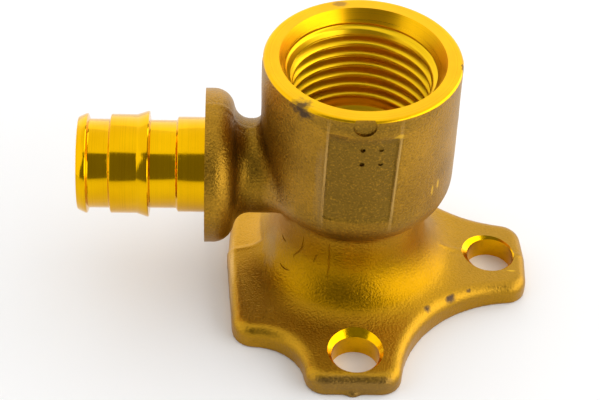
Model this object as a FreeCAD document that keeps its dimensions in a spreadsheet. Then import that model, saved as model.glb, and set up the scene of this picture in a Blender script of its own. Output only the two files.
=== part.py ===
import FreeCAD, Part
import math
import os
import Sketcher

# Wall plate elbow: one brass forging with a threaded socket on a wall plate and a ribbed
# pipe spigot at a right angle to it.
# Frame: millimetres, +Z out of the wall along the socket axis, wall face at z = 0,
# spigot along -X. The forging is symmetric about its parting plane y = 0.

NODE = "elbow_body"

# Driving dimensions: alias, value, meaning.
SIZES = (
    ("socket_diameter", 26.9, "outside of the socket"),
    ("socket_height", 39.1, "socket rim above the wall"),
    ("rim_chamfer", 0.6, "outer chamfer of the rim"),
    ("mouth_diameter", 22.6, "lead-in cone at the rim"),
    ("mouth_depth", 4.1, "lead-in cone from the rim to the thread core"),
    ("thread_core_diameter", 18.63, "core of the half inch parallel pipe thread"),
    ("thread_depth", 15.7, "thread core below the rim"),
    ("chamber_diameter", 16.0, "drilled chamber under the thread"),
    ("chamber_depth", 22.6, "chamber wall below the rim"),
    ("drill_point_angle", 118.0, "cone at the chamber floor, degrees"),
    ("bowl_round", 5.2, "rounding under the socket"),
    ("bowl_height", 20.5, "start of that rounding above the wall"),
    ("pedestal_diameter", 20.4, "column under the bowl"),
    ("pedestal_round", 2.0, "hollow round between column and bowl"),
    ("flare_height", 6.1, "trumpet flare above the plate, at its cone"),
    ("flare_spread", 3.8, "that cone beyond the column"),
    ("flare_top_round", 5.0, "hollow round from the column to the cone"),
    ("flare_foot_round", 3.0, "hollow round from the cone to the plate"),
    ("plate_thickness", 3.5, "screw plate"),
    ("plate_edge_round", 1.1, "rounding of the top edges"),
    ("ear_land", 4.9, "front and rear ears beyond their screw holes"),
    ("side_ear_land", 5.2, "side ear beyond its screw hole"),
    ("side_ear_half", 6.9, "scallop of the side ear from the parting plane"),
    ("ear_side", 6.25, "scallop of the front and rear ears from the socket axis"),
    ("ear_tail_side", 7.0, "tail scallop of those ears from the socket axis"),
    ("ear_corner", 3.0, "plan rounding of the ear corners"),
    ("scallop_radius", 18.0, "scallops beside the side ear"),
    ("tail_reach", 17.85, "plate edge under the spigot from the socket axis"),
    ("tail_half_length", 16.25, "half length of that edge"),
    ("tail_corner", 3.3, "plan rounding of its corners"),
    ("tail_scallop_radius", 7.1, "scallops between that edge and the ears"),
    ("draft_angle", 3.3, "forging draft away from the parting plane, degrees"),
    ("nub_radius", 1.25, "half round nub at the foot of the front ear"),
    ("nub_offset", 0.4, "middle of the nub left of the socket axis"),
    ("nub_proud", 0.5, "nub in front of the ear end"),
    ("screw_spacing", 40.4, "between the front and rear screw holes"),
    ("side_screw_reach", 20.5, "side screw hole from the socket axis"),
    ("screw_hole_diameter", 6.7, "screw hole"),
    ("countersink_height", 2.9, "foot of the 90 degree countersink above the wall"),
    ("spigot_height", 19.9, "spigot axis above the wall"),
    ("neck_diameter", 13.2, "waist between socket and flange"),
    ("neck_waist", 14.9, "waist from the socket axis"),
    ("neck_root_round", 1.4, "hollow round where the neck leaves the socket"),
    ("flange_face", 21.1, "turned flange face from the socket axis"),
    ("flange_diameter", 21.5, "stop flange"),
    ("flange_rim", 1.15, "straight rim of the flange"),
    ("flange_back_round", 2.9, "rounding behind the rim"),
    ("stub_diameter", 13.3, "plain stub next to the flange"),
    ("stub_length", 3.7, "plain stub"),
    ("rear_groove_diameter", 12.3, "groove between stub and barb"),
    ("rear_groove_length", 3.85, "that groove"),
    ("barb_diameter", 14.8, "sharp crest of the barb"),
    ("barb_back", 0.3, "steep back of the barb"),
    ("barb_length", 1.45, "cone in front of the barb"),
    ("ring_diameter", 13.8, "plain ring in front of the barb"),
    ("ring_length", 3.6, "that ring"),
    ("front_groove_diameter", 12.4, "groove behind the lip"),
    ("front_groove_length", 2.5, "that groove"),
    ("groove_bevel", 0.5, "length of the bevels at the groove ends"),
    ("lip_diameter", 13.9, "sharp crest of the end lip"),
    ("lip_length", 1.2, "cone of the end lip"),
    ("lip_nose_diameter", 12.9, "nose of the end lip"),
    ("waterway_diameter", 9.4, "bore of the spigot"),
    ("waterway_chamfer", 0.5, "chamfer at the mouth of that bore"),
    ("recess_left", 5.3, "left edge of the sunk panel from the socket axis"),
    ("recess_right", 4.7, "right edge of the sunk panel from the socket axis"),
    ("recess_rise", 0.4, "lower edge of the panel above the bowl's rounding"),
    ("recess_drop", 2.8, "upper edge of the panel below the rim"),
    ("recess_depth", 0.35, "depth of the panel"),
    ("recess_corner", 1.2, "corner rounding of the panel"),
    ("dot_diameter", 0.7, "punch dots in the panel"),
    ("dot_pitch", 2.45, "spacing of the dots"),
    ("dot_column", 0.85, "middle of the dots beside the socket axis"),
    ("dot_drop", 6.4, "middle of the dots below the rim"),
    ("dot_depth", 0.45, "depth of the dots below the panel"),
    ("ejector_diameter", 3.2, "ejector pin mark under the rim"),
    ("ejector_offset", 0.3, "middle of that mark left of the socket axis"),
    ("ejector_drop", 1.0, "middle of that mark below the rim"),
    ("ejector_depth", 0.45, "depth of that mark"),
)

# Largest share of the land outside the flare that the rounding of the plate's edges takes,
# and its least share of the wished radius.
LAND_SHARE = 0.95
LEAST_SHARE = 0.3
# Countersink of the screw holes and a full turn, degrees.
COUNTERSINK_ANGLE = 90.0
FULL_TURN = 360.0
# Two directions are parallel above the first cosine and square below the second.
PARALLEL = 0.99
SQUARE = 0.01
# Lengths nearer than this are equal.
CLOSE = 0.001

doc = FreeCAD.newDocument("wall_plate_elbow")
sheet = doc.addObject("Spreadsheet::Sheet", "Sizes")
for row, (alias, value, meaning) in enumerate(SIZES, start=1):
    sheet.set(f"A{row}", meaning)
    sheet.set(f"B{row}", str(value))
    sheet.setAlias(f"B{row}", alias)
doc.recompute()

body = doc.addObject("PartDesign::Body", NODE)
body.Label = NODE


def size(expression):
    """Number that an expression of the sheet's cells gives."""
    return float(sheet.evalExpression(expression))


def cell(alias):
    """Name of a cell as the features read it."""
    return f"Sizes.{alias}"


def half(alias):
    """Half of a cell, such as the radius of a diameter."""
    return f"({cell(alias)} / 2)"


def new_sketch(name, plane):
    """Sketch on one of the body's own origin planes."""
    origin = next(p for p in body.Origin.OriginFeatures if p.Role == plane)
    sketch = body.newObject("Sketcher::SketchObject", name)
    sketch.AttachmentSupport = [(origin, "")]
    sketch.MapMode = "FlatFace"
    return sketch


def bind(sketch, constraint, expression):
    """Adds a dimension to a sketch and ties it to the sheet."""
    index = sketch.addConstraint(constraint)
    sketch.setExpression(f"Constraints[{index}]", expression)


def pin(sketch, geometry, end, x, y):
    """Places one end of a sketch element by two expressions; "0" means on the axis."""
    for kind, axis, value in (("DistanceX", -2, x), ("DistanceY", -1, y)):
        if value == "0":
            sketch.addConstraint(Sketcher.Constraint("PointOnObject", geometry, end, axis))
        else:
            rule = Sketcher.Constraint(kind, -1, 1, geometry, end, size(value))
            bind(sketch, rule, value)


def arc_between(start, end, radius, left):
    """Arc from start to end with its centre on the left or right of that direction."""
    middle = (start + end) * 0.5
    chord = end - start
    rise = math.sqrt(max(radius**2 - (chord.Length / 2) ** 2, 0.0))
    side = FreeCAD.Vector(-chord.y, chord.x, 0).normalize() * (rise if left else -rise)
    centre = middle + side
    first, last = (start, end) if left else (end, start)
    angles = [math.atan2(p.y - centre.y, p.x - centre.x) for p in (first, last)]
    if angles[1] < angles[0]:
        angles[1] += 2 * math.pi
    circle = Part.Circle(centre, FreeCAD.Vector(0, 0, 1), radius)
    return Part.ArcOfCircle(circle, *angles)


def draw_profile(sketch, corners):
    """Closed outline through corners (x, y) or (x, y, radius, side).

    The edge that leaves a corner with a radius is an arc whose centre lies on that side.
    """
    points = [FreeCAD.Vector(size(c[0]), size(c[1]), 0) for c in corners]
    ends = []
    for index, corner in enumerate(corners):
        start = points[index]
        end = points[(index + 1) % len(points)]
        if len(corner) == 2:
            geometry = sketch.addGeometry(Part.LineSegment(start, end), False)
            ends.append((geometry, 1, 2))
            continue
        left = corner[3] == "left"
        arc = arc_between(start, end, size(corner[2]), left)
        geometry = sketch.addGeometry(arc, False)
        ends.append((geometry, 1, 2) if left else (geometry, 2, 1))
        rule = Sketcher.Constraint("Radius", geometry, size(corner[2]))
        bind(sketch, rule, corner[2])
    for index, (geometry, begin, _) in enumerate(ends):
        before, _, finish = ends[index - 1]
        sketch.addConstraint(Sketcher.Constraint("Coincident", before, finish, geometry, begin))
        pin(sketch, geometry, begin, corners[index][0], corners[index][1])


def turned(kind, name, sketch, axis):
    """Full revolution or groove of a sketch about one of its own axes."""
    feature = body.newObject(kind, name)
    feature.Profile = sketch
    feature.ReferenceAxis = (sketch, [axis])
    feature.Angle = FULL_TURN
    sketch.Visibility = False
    doc.recompute()
    return feature


def edges_where(feature, test):
    """Names of the feature's edges for which the test of edge and its faces holds."""
    shape = feature.Shape
    names = []
    for number, edge in enumerate(shape.Edges, start=1):
        if test(edge, shape.ancestorsOfType(edge, Part.Face)):
            names.append(f"Edge{number}")
    return names


def rounded(name, base, radius, test):
    """Fillet of the edges that the test picks."""
    fillet = body.newObject("PartDesign::Fillet", name)
    fillet.Base = (base, edges_where(base, test))
    fillet.setExpression("Radius", radius)
    doc.recompute()
    return fillet


# Plate: half of its outline, behind the parting plane, then mirrored.
ear_reach = f"({half('screw_spacing')} + {cell('ear_land')})"
side_ear_reach = f"({cell('side_screw_reach')} + {cell('side_ear_land')})"
big_scallop = (
    f"({cell('ear_side')} + {cell('scallop_radius')})",
    f"({cell('side_ear_half')} + {cell('scallop_radius')})",
)
small_scallop = (
    f"-({cell('ear_tail_side')} + {cell('tail_scallop_radius')})",
    f"({cell('tail_half_length')} + {cell('tail_scallop_radius')})",
)


def draft_corner():
    """Angle between the parting plane and a drafted edge, in radians."""
    return math.radians(90 - size(cell("draft_angle")))


def corner_centre(line_point, line_angle, scallop_centre, scallop, corner, sign):
    """Centre of a corner round that touches a straight edge and a scallop outside it.

    The edge runs through line_point at line_angle with the plate on its left; the sign
    tells which of the two solutions along the edge is meant.
    """
    along = FreeCAD.Vector(math.cos(line_angle), math.sin(line_angle), 0)
    inward = FreeCAD.Vector(-along.y, along.x, 0)
    offset = line_point + inward * corner - scallop_centre
    lead = offset.dot(along)
    root = math.sqrt(lead**2 - offset.dot(offset) + (scallop + corner) ** 2)
    centre = scallop_centre + offset + along * (sign * root - lead)
    return centre, centre - inward * corner


def plate_points():
    """Corners of the half outline from the side ear to the tail, as the sketch starts."""
    draft = math.radians(size(cell("draft_angle")))
    reach = size(ear_reach)
    ear = size(cell("ear_corner"))
    tail = size(cell("tail_corner"))
    scallop = size(cell("scallop_radius"))
    small = size(cell("tail_scallop_radius"))
    big_centre = FreeCAD.Vector(size(big_scallop[0]), size(big_scallop[1]), 0)
    small_centre = FreeCAD.Vector(size(small_scallop[0]), size(small_scallop[1]), 0)
    right = FreeCAD.Vector(size(side_ear_reach), 0, 0)
    left = FreeCAD.Vector(-size(cell("tail_reach")), 0, 0)
    top = FreeCAD.Vector(0, reach, 0)
    rounds = []
    for point, angle, centre, radius, corner, sign in (
        (right, math.pi / 2 + draft, big_centre, scallop, ear, -1),
        (top, math.pi, big_centre, scallop, ear, 1),
        (top, math.pi, small_centre, small, ear, -1),
        (left, -math.pi / 2 - draft, small_centre, small, tail, 1),
    ):
        middle, on_edge = corner_centre(point, angle, centre, radius, corner, sign)
        on_scallop = centre + (middle - centre) * (radius / (radius + corner))
        rounds.append((on_edge, on_scallop, corner))
    return right, left, rounds, scallop, small


def plate_sketch():
    """Half outline of the plate with its tangencies and sizes."""
    sketch = new_sketch("plate_half_outline", "XY_Plane")
    right, left, rounds, scallop, small = plate_points()
    (a_edge, a_scallop, ear), (b_edge, b_scallop, _) = rounds[0], rounds[1]
    (c_edge, c_scallop, _), (d_edge, d_scallop, tail) = rounds[2], rounds[3]
    ring = (
        Part.LineSegment(right, a_edge),
        arc_between(a_edge, a_scallop, ear, True),
        arc_between(a_scallop, b_scallop, scallop, False),
        arc_between(b_scallop, b_edge, ear, True),
        Part.LineSegment(b_edge, c_edge),
        arc_between(c_edge, c_scallop, ear, True),
        arc_between(c_scallop, d_scallop, small, False),
        arc_between(d_scallop, d_edge, tail, True),
        Part.LineSegment(d_edge, left),
        Part.LineSegment(left, right),
    )
    for element in ring:
        sketch.addGeometry(element, False)
    side_end, side_round, scallop_arc, rear_round, rear_end = 0, 1, 2, 3, 4
    tail_side_round, tail_scallop, tail_round, tail_edge, parting = 5, 6, 7, 8, 9
    joints = (
        (side_end, 2, side_round, 1),
        (side_round, 2, scallop_arc, 2),
        (scallop_arc, 1, rear_round, 1),
        (rear_round, 2, rear_end, 1),
        (rear_end, 2, tail_side_round, 1),
        (tail_side_round, 2, tail_scallop, 2),
        (tail_scallop, 1, tail_round, 1),
        (tail_round, 2, tail_edge, 1),
    )
    for joint in joints:
        sketch.addConstraint(Sketcher.Constraint("Tangent", *joint))
    sketch.addConstraint(Sketcher.Constraint("Coincident", tail_edge, 2, parting, 1))
    sketch.addConstraint(Sketcher.Constraint("Coincident", parting, 2, side_end, 1))
    sketch.addConstraint(Sketcher.Constraint("Horizontal", rear_end))
    for geometry, radius in (
        (side_round, "ear_corner"),
        (rear_round, "ear_corner"),
        (tail_side_round, "ear_corner"),
        (scallop_arc, "scallop_radius"),
        (tail_scallop, "tail_scallop_radius"),
        (tail_round, "tail_corner"),
    ):
        rule = Sketcher.Constraint("Radius", geometry, size(cell(radius)))
        bind(sketch, rule, cell(radius))
    pin(sketch, scallop_arc, 3, *big_scallop)
    pin(sketch, tail_scallop, 3, *small_scallop)
    pin(sketch, side_end, 1, side_ear_reach, "0")
    pin(sketch, parting, 1, f"-{cell('tail_reach')}", "0")
    reach = Sketcher.Constraint("DistanceY", -1, 1, rear_end, 1, size(ear_reach))
    bind(sketch, reach, ear_reach)
    for first, second in (((side_end, 1), (parting, 2)), ((parting, 1), (tail_edge, 2))):
        rule = Sketcher.Constraint("Angle", *first, *second, draft_corner())
        bind(sketch, rule, f"90 - {cell('draft_angle')}")
    return sketch


# Section of socket and column: the bowl's rounding and the hollow round that meets it.
socket = half("socket_diameter")
column = half("pedestal_diameter")
bowl_radius = f"({socket} - {cell('bowl_round')})"
bowl_span = f"({cell('bowl_round')} + {cell('pedestal_round')})"
round_run = f"({column} + {cell('pedestal_round')} - {bowl_radius})"
round_drop = f"sqrt({bowl_span} ^ 2 - {round_run} ^ 2)"
column_top = f"({cell('bowl_height')} - {round_drop})"

# Section of the trumpet flare: a steep cone between column and plate, hollow at both ends.
plate_top = cell("plate_thickness")
spread = cell("flare_spread")
cone_angle = f"atan({cell('flare_height')} / {spread})"
top_tangent = f"({cell('flare_top_round')} * tan((90 deg - {cone_angle}) / 2))"
foot_tangent = f"({cell('flare_foot_round')} * tan({cone_angle} / 2))"
cone_top = f"({plate_top} + {cell('flare_height')})"
flare_top = f"({cone_top} + {top_tangent})"
flare_foot = f"({column} + {spread} + {foot_tangent})"

half_outline = plate_sketch()
plate_half = body.newObject("PartDesign::Pad", "plate_half")
plate_half.Profile = half_outline
plate_half.setExpression("Length", flare_top)
half_outline.Visibility = False
doc.recompute()

plate = body.newObject("PartDesign::Mirrored", "plate")
plate.Originals = [plate_half]
parting_plane = next(p for p in body.Origin.OriginFeatures if p.Role == "XZ_Plane")
plate.MirrorPlane = (parting_plane, [""])
body.Tip = plate
doc.recompute()

# What lies above the flare and the plate is cut away.
clear_radius = f"({side_ear_reach} + {cell('side_ear_half')})"
flare_sketch = new_sketch("flare_profile", "XZ_Plane")
draw_profile(
    flare_sketch,
    (
        (column, flare_top, cell("flare_top_round"), "left"),
        (f"{column} + {top_tangent} * cos({cone_angle})", f"{cone_top} - {top_tangent} * sin({cone_angle})"),
        (
            f"{column} + {spread} - {foot_tangent} * cos({cone_angle})",
            f"{plate_top} + {foot_tangent} * sin({cone_angle})",
            cell("flare_foot_round"),
            "left",
        ),
        (flare_foot, plate_top),
        (clear_radius, plate_top),
        (clear_radius, flare_top),
    ),
)
plate_flare = turned("PartDesign::Groove", "plate_flare", flare_sketch, "V_Axis")


def is_plate_rim(edge, faces):
    """Top edges of the plate, where an upright side meets the flat top."""
    if abs(edge.BoundBox.ZMin - size(plate_top)) > CLOSE:
        return False
    upright = 0
    for face in faces:
        surface = face.Surface
        if isinstance(surface, Part.Plane):
            upright += abs(surface.Axis.z) < SQUARE
        elif isinstance(surface, Part.Cylinder):
            upright += abs(surface.Axis.z) > PARALLEL
    return upright == 1


# The rounding of the top edges stays on the land outside the flare.
scallop_waist = f"(sqrt({big_scallop[0]} ^ 2 + {big_scallop[1]} ^ 2) - {cell('scallop_radius')})"
rim_land = f"(min({scallop_waist}; {cell('tail_reach')}) - {flare_foot})"
edge_round = cell("plate_edge_round")
rim_round = f"min({edge_round}; max({LEAST_SHARE} * {edge_round}; {LAND_SHARE} * {rim_land}))"
plate_rounds = rounded("plate_rounds", plate_flare, rim_round, is_plate_rim)

# Half round nub that the forging leaves at the foot of the front ear.
nub_sketch = new_sketch("nub_profile", "XZ_Plane")
nub_sketch.setExpression("AttachmentOffset.Base.z", f"{ear_reach} - {cell('nub_radius')}")
nub_left = f"-({cell('nub_offset')} + {cell('nub_radius')})"
nub_right = f"({cell('nub_radius')} - {cell('nub_offset')})"
draw_profile(
    nub_sketch,
    (
        (nub_left, "0"),
        (nub_right, "0", cell("nub_radius"), "left"),
        (f"-{cell('nub_offset')}", cell("nub_radius"), cell("nub_radius"), "left"),
    ),
)
nub = body.newObject("PartDesign::Pad", "nub")
nub.Profile = nub_sketch
nub.setExpression("Length", f"{cell('nub_radius')} + {cell('nub_proud')}")
nub_sketch.Visibility = False
doc.recompute()

# Socket with its rounded bowl and the column that carries it.
bowl_foot_radius = f"{bowl_radius} + {cell('bowl_round')} * {round_run} / {bowl_span}"
bowl_foot_height = f"{cell('bowl_height')} - {cell('bowl_round')} * {round_drop} / {bowl_span}"
socket_sketch = new_sketch("socket_profile", "XZ_Plane")
draw_profile(
    socket_sketch,
    (
        ("0", flare_top),
        (column, flare_top),
        (column, column_top, cell("pedestal_round"), "right"),
        (bowl_foot_radius, bowl_foot_height, cell("bowl_round"), "left"),
        (socket, cell("bowl_height")),
        (socket, f"{cell('socket_height')} - {cell('rim_chamfer')}"),
        (f"{socket} - {cell('rim_chamfer')}", cell("socket_height")),
        ("0", cell("socket_height")),
    ),
)
socket_blank = turned("PartDesign::Revolution", "socket_blank", socket_sketch, "V_Axis")


# Spigot, stop flange and neck, turned about the spigot axis.

def spigot_plane(name):
    """Sketch through the spigot axis, which is its horizontal axis."""
    sketch = new_sketch(name, "XZ_Plane")
    sketch.setExpression("AttachmentOffset.Base.y", cell("spigot_height"))
    doc.recompute()
    return sketch


def station(*lengths):
    """Place along the spigot: the flange face and these lengths beyond it."""
    parts = [cell("flange_face")] + [cell(length) for length in lengths]
    return f"-({' + '.join(parts)})"


neck = half("neck_diameter")
flange = half("flange_diameter")
rim_end = f"({cell('flange_face')} - {cell('flange_rim')})"
neck_run = f"({rim_end} - {cell('neck_waist')})"
neck_step = f"({flange} - {neck})"
neck_span = f"(({neck_run} ^ 2 + {neck_step} ^ 2) / (2 * {neck_step}))"
bend_x = f"-{rim_end} + {cell('flange_back_round')} * {neck_run} / {neck_span}"
bend_r = f"{flange} - {cell('flange_back_round')} * {neck_step} / {neck_span}"
stub_end = ("stub_length",)
barb_foot = stub_end + ("rear_groove_length",)
barb_crest = barb_foot + ("barb_back",)
ring_start = barb_crest + ("barb_length",)
ring_end = ring_start + ("ring_length",)
front_groove_start = ring_end + ("groove_bevel",)
front_groove_end = front_groove_start + ("front_groove_length",)
lip_crest = front_groove_end + ("groove_bevel",)
nose = lip_crest + ("lip_length",)
spigot_sketch = spigot_plane("spigot_profile")
draw_profile(
    spigot_sketch,
    (
        ("0", "0"),
        ("0", neck),
        (f"-{cell('neck_waist')}", neck, f"{neck_span} - {cell('flange_back_round')}", "right"),
        (bend_x, bend_r, cell("flange_back_round"), "left"),
        (f"-{rim_end}", flange),
        (f"-{cell('flange_face')}", flange),
        (f"-{cell('flange_face')}", half("stub_diameter")),
        (station(*stub_end) + f" + {cell('groove_bevel')} / 2", half("stub_diameter")),
        (station(*stub_end), half("rear_groove_diameter")),
        (station(*barb_foot), half("rear_groove_diameter")),
        (station(*barb_crest), half("barb_diameter")),
        (station(*ring_start), half("ring_diameter")),
        (station(*ring_end), half("ring_diameter")),
        (station(*front_groove_start), half("front_groove_diameter")),
        (station(*front_groove_end), half("front_groove_diameter")),
        (station(*lip_crest), half("lip_diameter")),
        (station(*nose), half("lip_nose_diameter")),
        (station(*nose), "0"),
    ),
)
spigot_blank = turned("PartDesign::Revolution", "spigot_blank", spigot_sketch, "H_Axis")


def is_neck_root(edge, faces):
    """Edges where the round neck runs into the socket, its bowl and the column."""
    if edge.CenterOfMass.x < -(size(cell("neck_waist")) + size(socket)) / 2:
        return False
    for face in faces:
        surface = face.Surface
        if isinstance(surface, Part.Cylinder) and abs(surface.Axis.x) > PARALLEL:
            return abs(surface.Radius - size(neck)) < CLOSE and not edge.isSeam(face)
    return False


neck_rounds = rounded("neck_rounds", spigot_blank, cell("neck_root_round"), is_neck_root)

# Socket bore: lead-in cone, thread core, chamber and drill point.
core = half("thread_core_diameter")
chamber = half("chamber_diameter")
thread_foot = f"({cell('socket_height')} - {cell('thread_depth')})"
chamber_foot = f"({cell('socket_height')} - {cell('chamber_depth')})"
drill_rise = f"{chamber} / tan({cell('drill_point_angle')} / 2 * 1 deg)"
bore_sketch = new_sketch("socket_bore_profile", "XZ_Plane")
draw_profile(
    bore_sketch,
    (
        ("0", cell("socket_height")),
        ("0", f"{chamber_foot} - {drill_rise}"),
        (chamber, chamber_foot),
        (chamber, f"{thread_foot} - ({core} - {chamber})"),
        (core, thread_foot),
        (core, f"{cell('socket_height')} - {cell('mouth_depth')}"),
        (half("mouth_diameter"), cell("socket_height")),
    ),
)
socket_bore = turned("PartDesign::Groove", "socket_bore", bore_sketch, "V_Axis")

# Waterway from the chamber to the nose of the spigot.
waterway = half("waterway_diameter")
flare_start = f"{station(*nose)} + {cell('waterway_chamfer')}"
waterway_sketch = spigot_plane("waterway_profile")
draw_profile(
    waterway_sketch,
    (
        ("0", "0"),
        ("0", waterway),
        (flare_start, waterway),
        (station(*nose), f"{waterway} + {cell('waterway_chamfer')}"),
        (station(*nose), "0"),
    ),
)
waterway_bore = turned("PartDesign::Groove", "waterway_bore", waterway_sketch, "H_Axis")

# Three countersunk screw holes, drilled from above the plate.
screw_sketch = new_sketch("screw_places", "XY_Plane")
drill_start = f"({cell('plate_thickness')} + {half('screw_hole_diameter')})"
screw_sketch.setExpression("AttachmentOffset.Base.z", drill_start)
for x, y in (
    ("0", f"-{half('screw_spacing')}"),
    ("0", half("screw_spacing")),
    (cell("side_screw_reach"), "0"),
):
    place = FreeCAD.Vector(size(x), size(y), 0)
    hole_radius = size(half("screw_hole_diameter"))
    circle = Part.Circle(place, FreeCAD.Vector(0, 0, 1), hole_radius)
    geometry = screw_sketch.addGeometry(circle, False)
    pin(screw_sketch, geometry, 3, x, y)
    rule = Sketcher.Constraint("Radius", geometry, hole_radius)
    bind(screw_sketch, rule, half("screw_hole_diameter"))
screw_sketch.Visibility = False
doc.recompute()
screw_holes = body.newObject("PartDesign::Hole", "screw_holes")
screw_holes.Profile = screw_sketch
screw_holes.ThreadType = "None"
screw_holes.DepthType = "ThroughAll"
screw_holes.HoleCutType = "Countersink"
screw_holes.HoleCutCustomValues = True
screw_holes.HoleCutCountersinkAngle = COUNTERSINK_ANGLE
screw_holes.setExpression("Diameter", cell("screw_hole_diameter"))
sink_depth = f"({drill_start} - {cell('countersink_height')})"
screw_holes.setExpression(
    "HoleCutDiameter", f"{cell('screw_hole_diameter')} + 2 * {sink_depth}"
)
doc.recompute()

# Sunk panel on the front of the socket, curved with it.
panel_floor = f"-({socket} - {cell('recess_depth')})"
panel_bottom = f"({cell('bowl_height')} + {cell('recess_rise')})"
panel_top = f"({cell('socket_height')} - {cell('recess_drop')})"
panel_sketch = new_sketch("panel_profile", "YZ_Plane")
draw_profile(
    panel_sketch,
    (
        (panel_floor, panel_bottom),
        (panel_floor, panel_top),
        (f"-({socket} + {cell('recess_depth')})", panel_top),
        (f"-({socket} + {cell('recess_depth')})", panel_bottom),
    ),
)
panel = body.newObject("PartDesign::Groove", "panel")
panel.Profile = panel_sketch
panel.ReferenceAxis = (panel_sketch, ["V_Axis"])
panel.Type = "TwoAngles"
panel.setExpression("Angle", f"asin({cell('recess_right')} / {socket})")
panel.setExpression("Angle2", f"asin({cell('recess_left')} / {socket})")
panel_sketch.Visibility = False
doc.recompute()


def is_panel_corner(edge, _):
    """Short radial edges at the four corners of the panel."""
    box = edge.BoundBox
    level = box.ZLength < CLOSE
    at_floor = any(abs(box.ZMin - size(end)) < CLOSE for end in (panel_bottom, panel_top))
    return level and at_floor and abs(edge.Length - size(cell("recess_depth"))) < CLOSE


panel_rounds = rounded("panel_rounds", panel, cell("recess_corner"), is_panel_corner)


def front_pocket(name, floor, circles):
    """Round pockets cut into the front of the socket down to a flat floor.

    Args: floor is the depth expression from the socket axis, circles are (x, z, diameter).
    """
    sketch = new_sketch(f"{name}_places", "XZ_Plane")
    sketch.setExpression("AttachmentOffset.Base.z", floor)
    for x, z, diameter in circles:
        radius = half(diameter)
        centre = FreeCAD.Vector(size(x), size(z), 0)
        circle = Part.Circle(centre, FreeCAD.Vector(0, 0, 1), size(radius))
        geometry = sketch.addGeometry(circle, False)
        pin(sketch, geometry, 3, x, z)
        bind(sketch, Sketcher.Constraint("Radius", geometry, size(radius)), radius)
    sketch.Visibility = False
    doc.recompute()
    pocket = body.newObject("PartDesign::Pocket", name)
    pocket.Profile = sketch
    pocket.Reversed = True
    pocket.setExpression("Length", socket)
    doc.recompute()
    return pocket


dot_shift = half("dot_pitch")
dot_row = f"({cell('socket_height')} - {cell('dot_drop')})"
dots = front_pocket(
    "dots",
    f"{socket} - {cell('recess_depth')} - {cell('dot_depth')}",
    [
        (f"{cell('dot_column')} {i} {dot_shift}", f"{dot_row} {j} {dot_shift}", "dot_diameter")
        for i in "+-"
        for j in "+-"
    ],
)
ejector_height = f"({cell('socket_height')} - {cell('ejector_drop')})"
ejector_mark = front_pocket(
    "ejector_mark",
    f"{socket} - {cell('ejector_depth')}",
    [(f"-{cell('ejector_offset')}", ejector_height, "ejector_diameter")],
)
body.Tip = ejector_mark
doc.recompute()


def check_document():
    """Stops unless every object is sound and every cut and addition changed the solid."""
    for item in doc.Objects:
        if "Invalid" in item.State or "Error" in item.State:
            raise RuntimeError(f"{item.Name} failed: {item.State}")
    features = [item for item in doc.Objects if getattr(item, "BaseFeature", None)]
    for feature in features:
        if len(feature.Shape.Faces) == len(feature.BaseFeature.Shape.Faces):
            raise RuntimeError(f"{feature.Name} leaves the solid as it was")
    shape = body.Shape
    if shape.isNull() or not shape.isValid() or len(shape.Solids) != 1:
        raise RuntimeError(f"{NODE} is not one valid solid")


check_document()
os.makedirs("parts", exist_ok=True)
body.Shape.exportStep(os.path.join("parts", f"{NODE}.step"))
box = body.Shape.BoundBox
print(f"{NODE}: {body.Shape.Volume:.1f} mm3, {box.XLength:.2f} x {box.YLength:.2f} x {box.ZLength:.2f} mm")
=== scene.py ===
"""Looks of a forged brass wall plate elbow with a threaded socket and a ribbed spigot.

The forged skin is meshed from distances to the forging's own profiles, and the machined
faces are then cut into it with the tools that turn, tap and drill the real fitting.
Lengths are in millimetres until a mesh is handed to the scene, which is in metres.
"""

from __future__ import annotations

import logging
import math
from dataclasses import dataclass
from enum import Enum
from typing import Callable, Sequence

import bmesh
import bpy
import numpy as np
from mathutils import Matrix, Vector

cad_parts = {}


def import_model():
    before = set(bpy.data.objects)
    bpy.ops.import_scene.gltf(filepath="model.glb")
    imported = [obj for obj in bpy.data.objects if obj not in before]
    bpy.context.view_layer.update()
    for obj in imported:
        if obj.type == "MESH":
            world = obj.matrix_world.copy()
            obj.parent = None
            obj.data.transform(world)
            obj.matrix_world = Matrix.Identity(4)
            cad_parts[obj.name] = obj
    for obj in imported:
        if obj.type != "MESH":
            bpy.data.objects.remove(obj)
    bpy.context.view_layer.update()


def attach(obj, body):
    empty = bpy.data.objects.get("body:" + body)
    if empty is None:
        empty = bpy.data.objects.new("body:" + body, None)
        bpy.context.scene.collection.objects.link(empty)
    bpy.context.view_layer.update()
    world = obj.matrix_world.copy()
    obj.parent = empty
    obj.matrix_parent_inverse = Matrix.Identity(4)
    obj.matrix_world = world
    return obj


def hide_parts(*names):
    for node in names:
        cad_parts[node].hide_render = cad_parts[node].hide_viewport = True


LOG = logging.getLogger("wall_plate_elbow")
MM = 0.001
TINY = 1e-12
SPIGOT_HEIGHT = 19.9
SOCKET_RADIUS = 13.45
Point2 = tuple[float, float]
Point3 = tuple[float, float, float]
Colour = tuple[float, float, float]
Face = tuple[int, ...]
Distance = Callable[[np.ndarray], np.ndarray]
NodeSocket = bpy.types.NodeSocket


class Skin(Enum):
    """Finishes of the elbow."""

    FORGED = "forged"
    TURNED = "turned"
    TAPPED = "tapped"
    SPIGOT = "spigot"


class Axis(Enum):
    """Direction a turned cutter is turned about."""

    SOCKET = "z"
    SPIGOT = "x"
    FRONT = "y"


# Small mesh and geometry helpers


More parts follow.
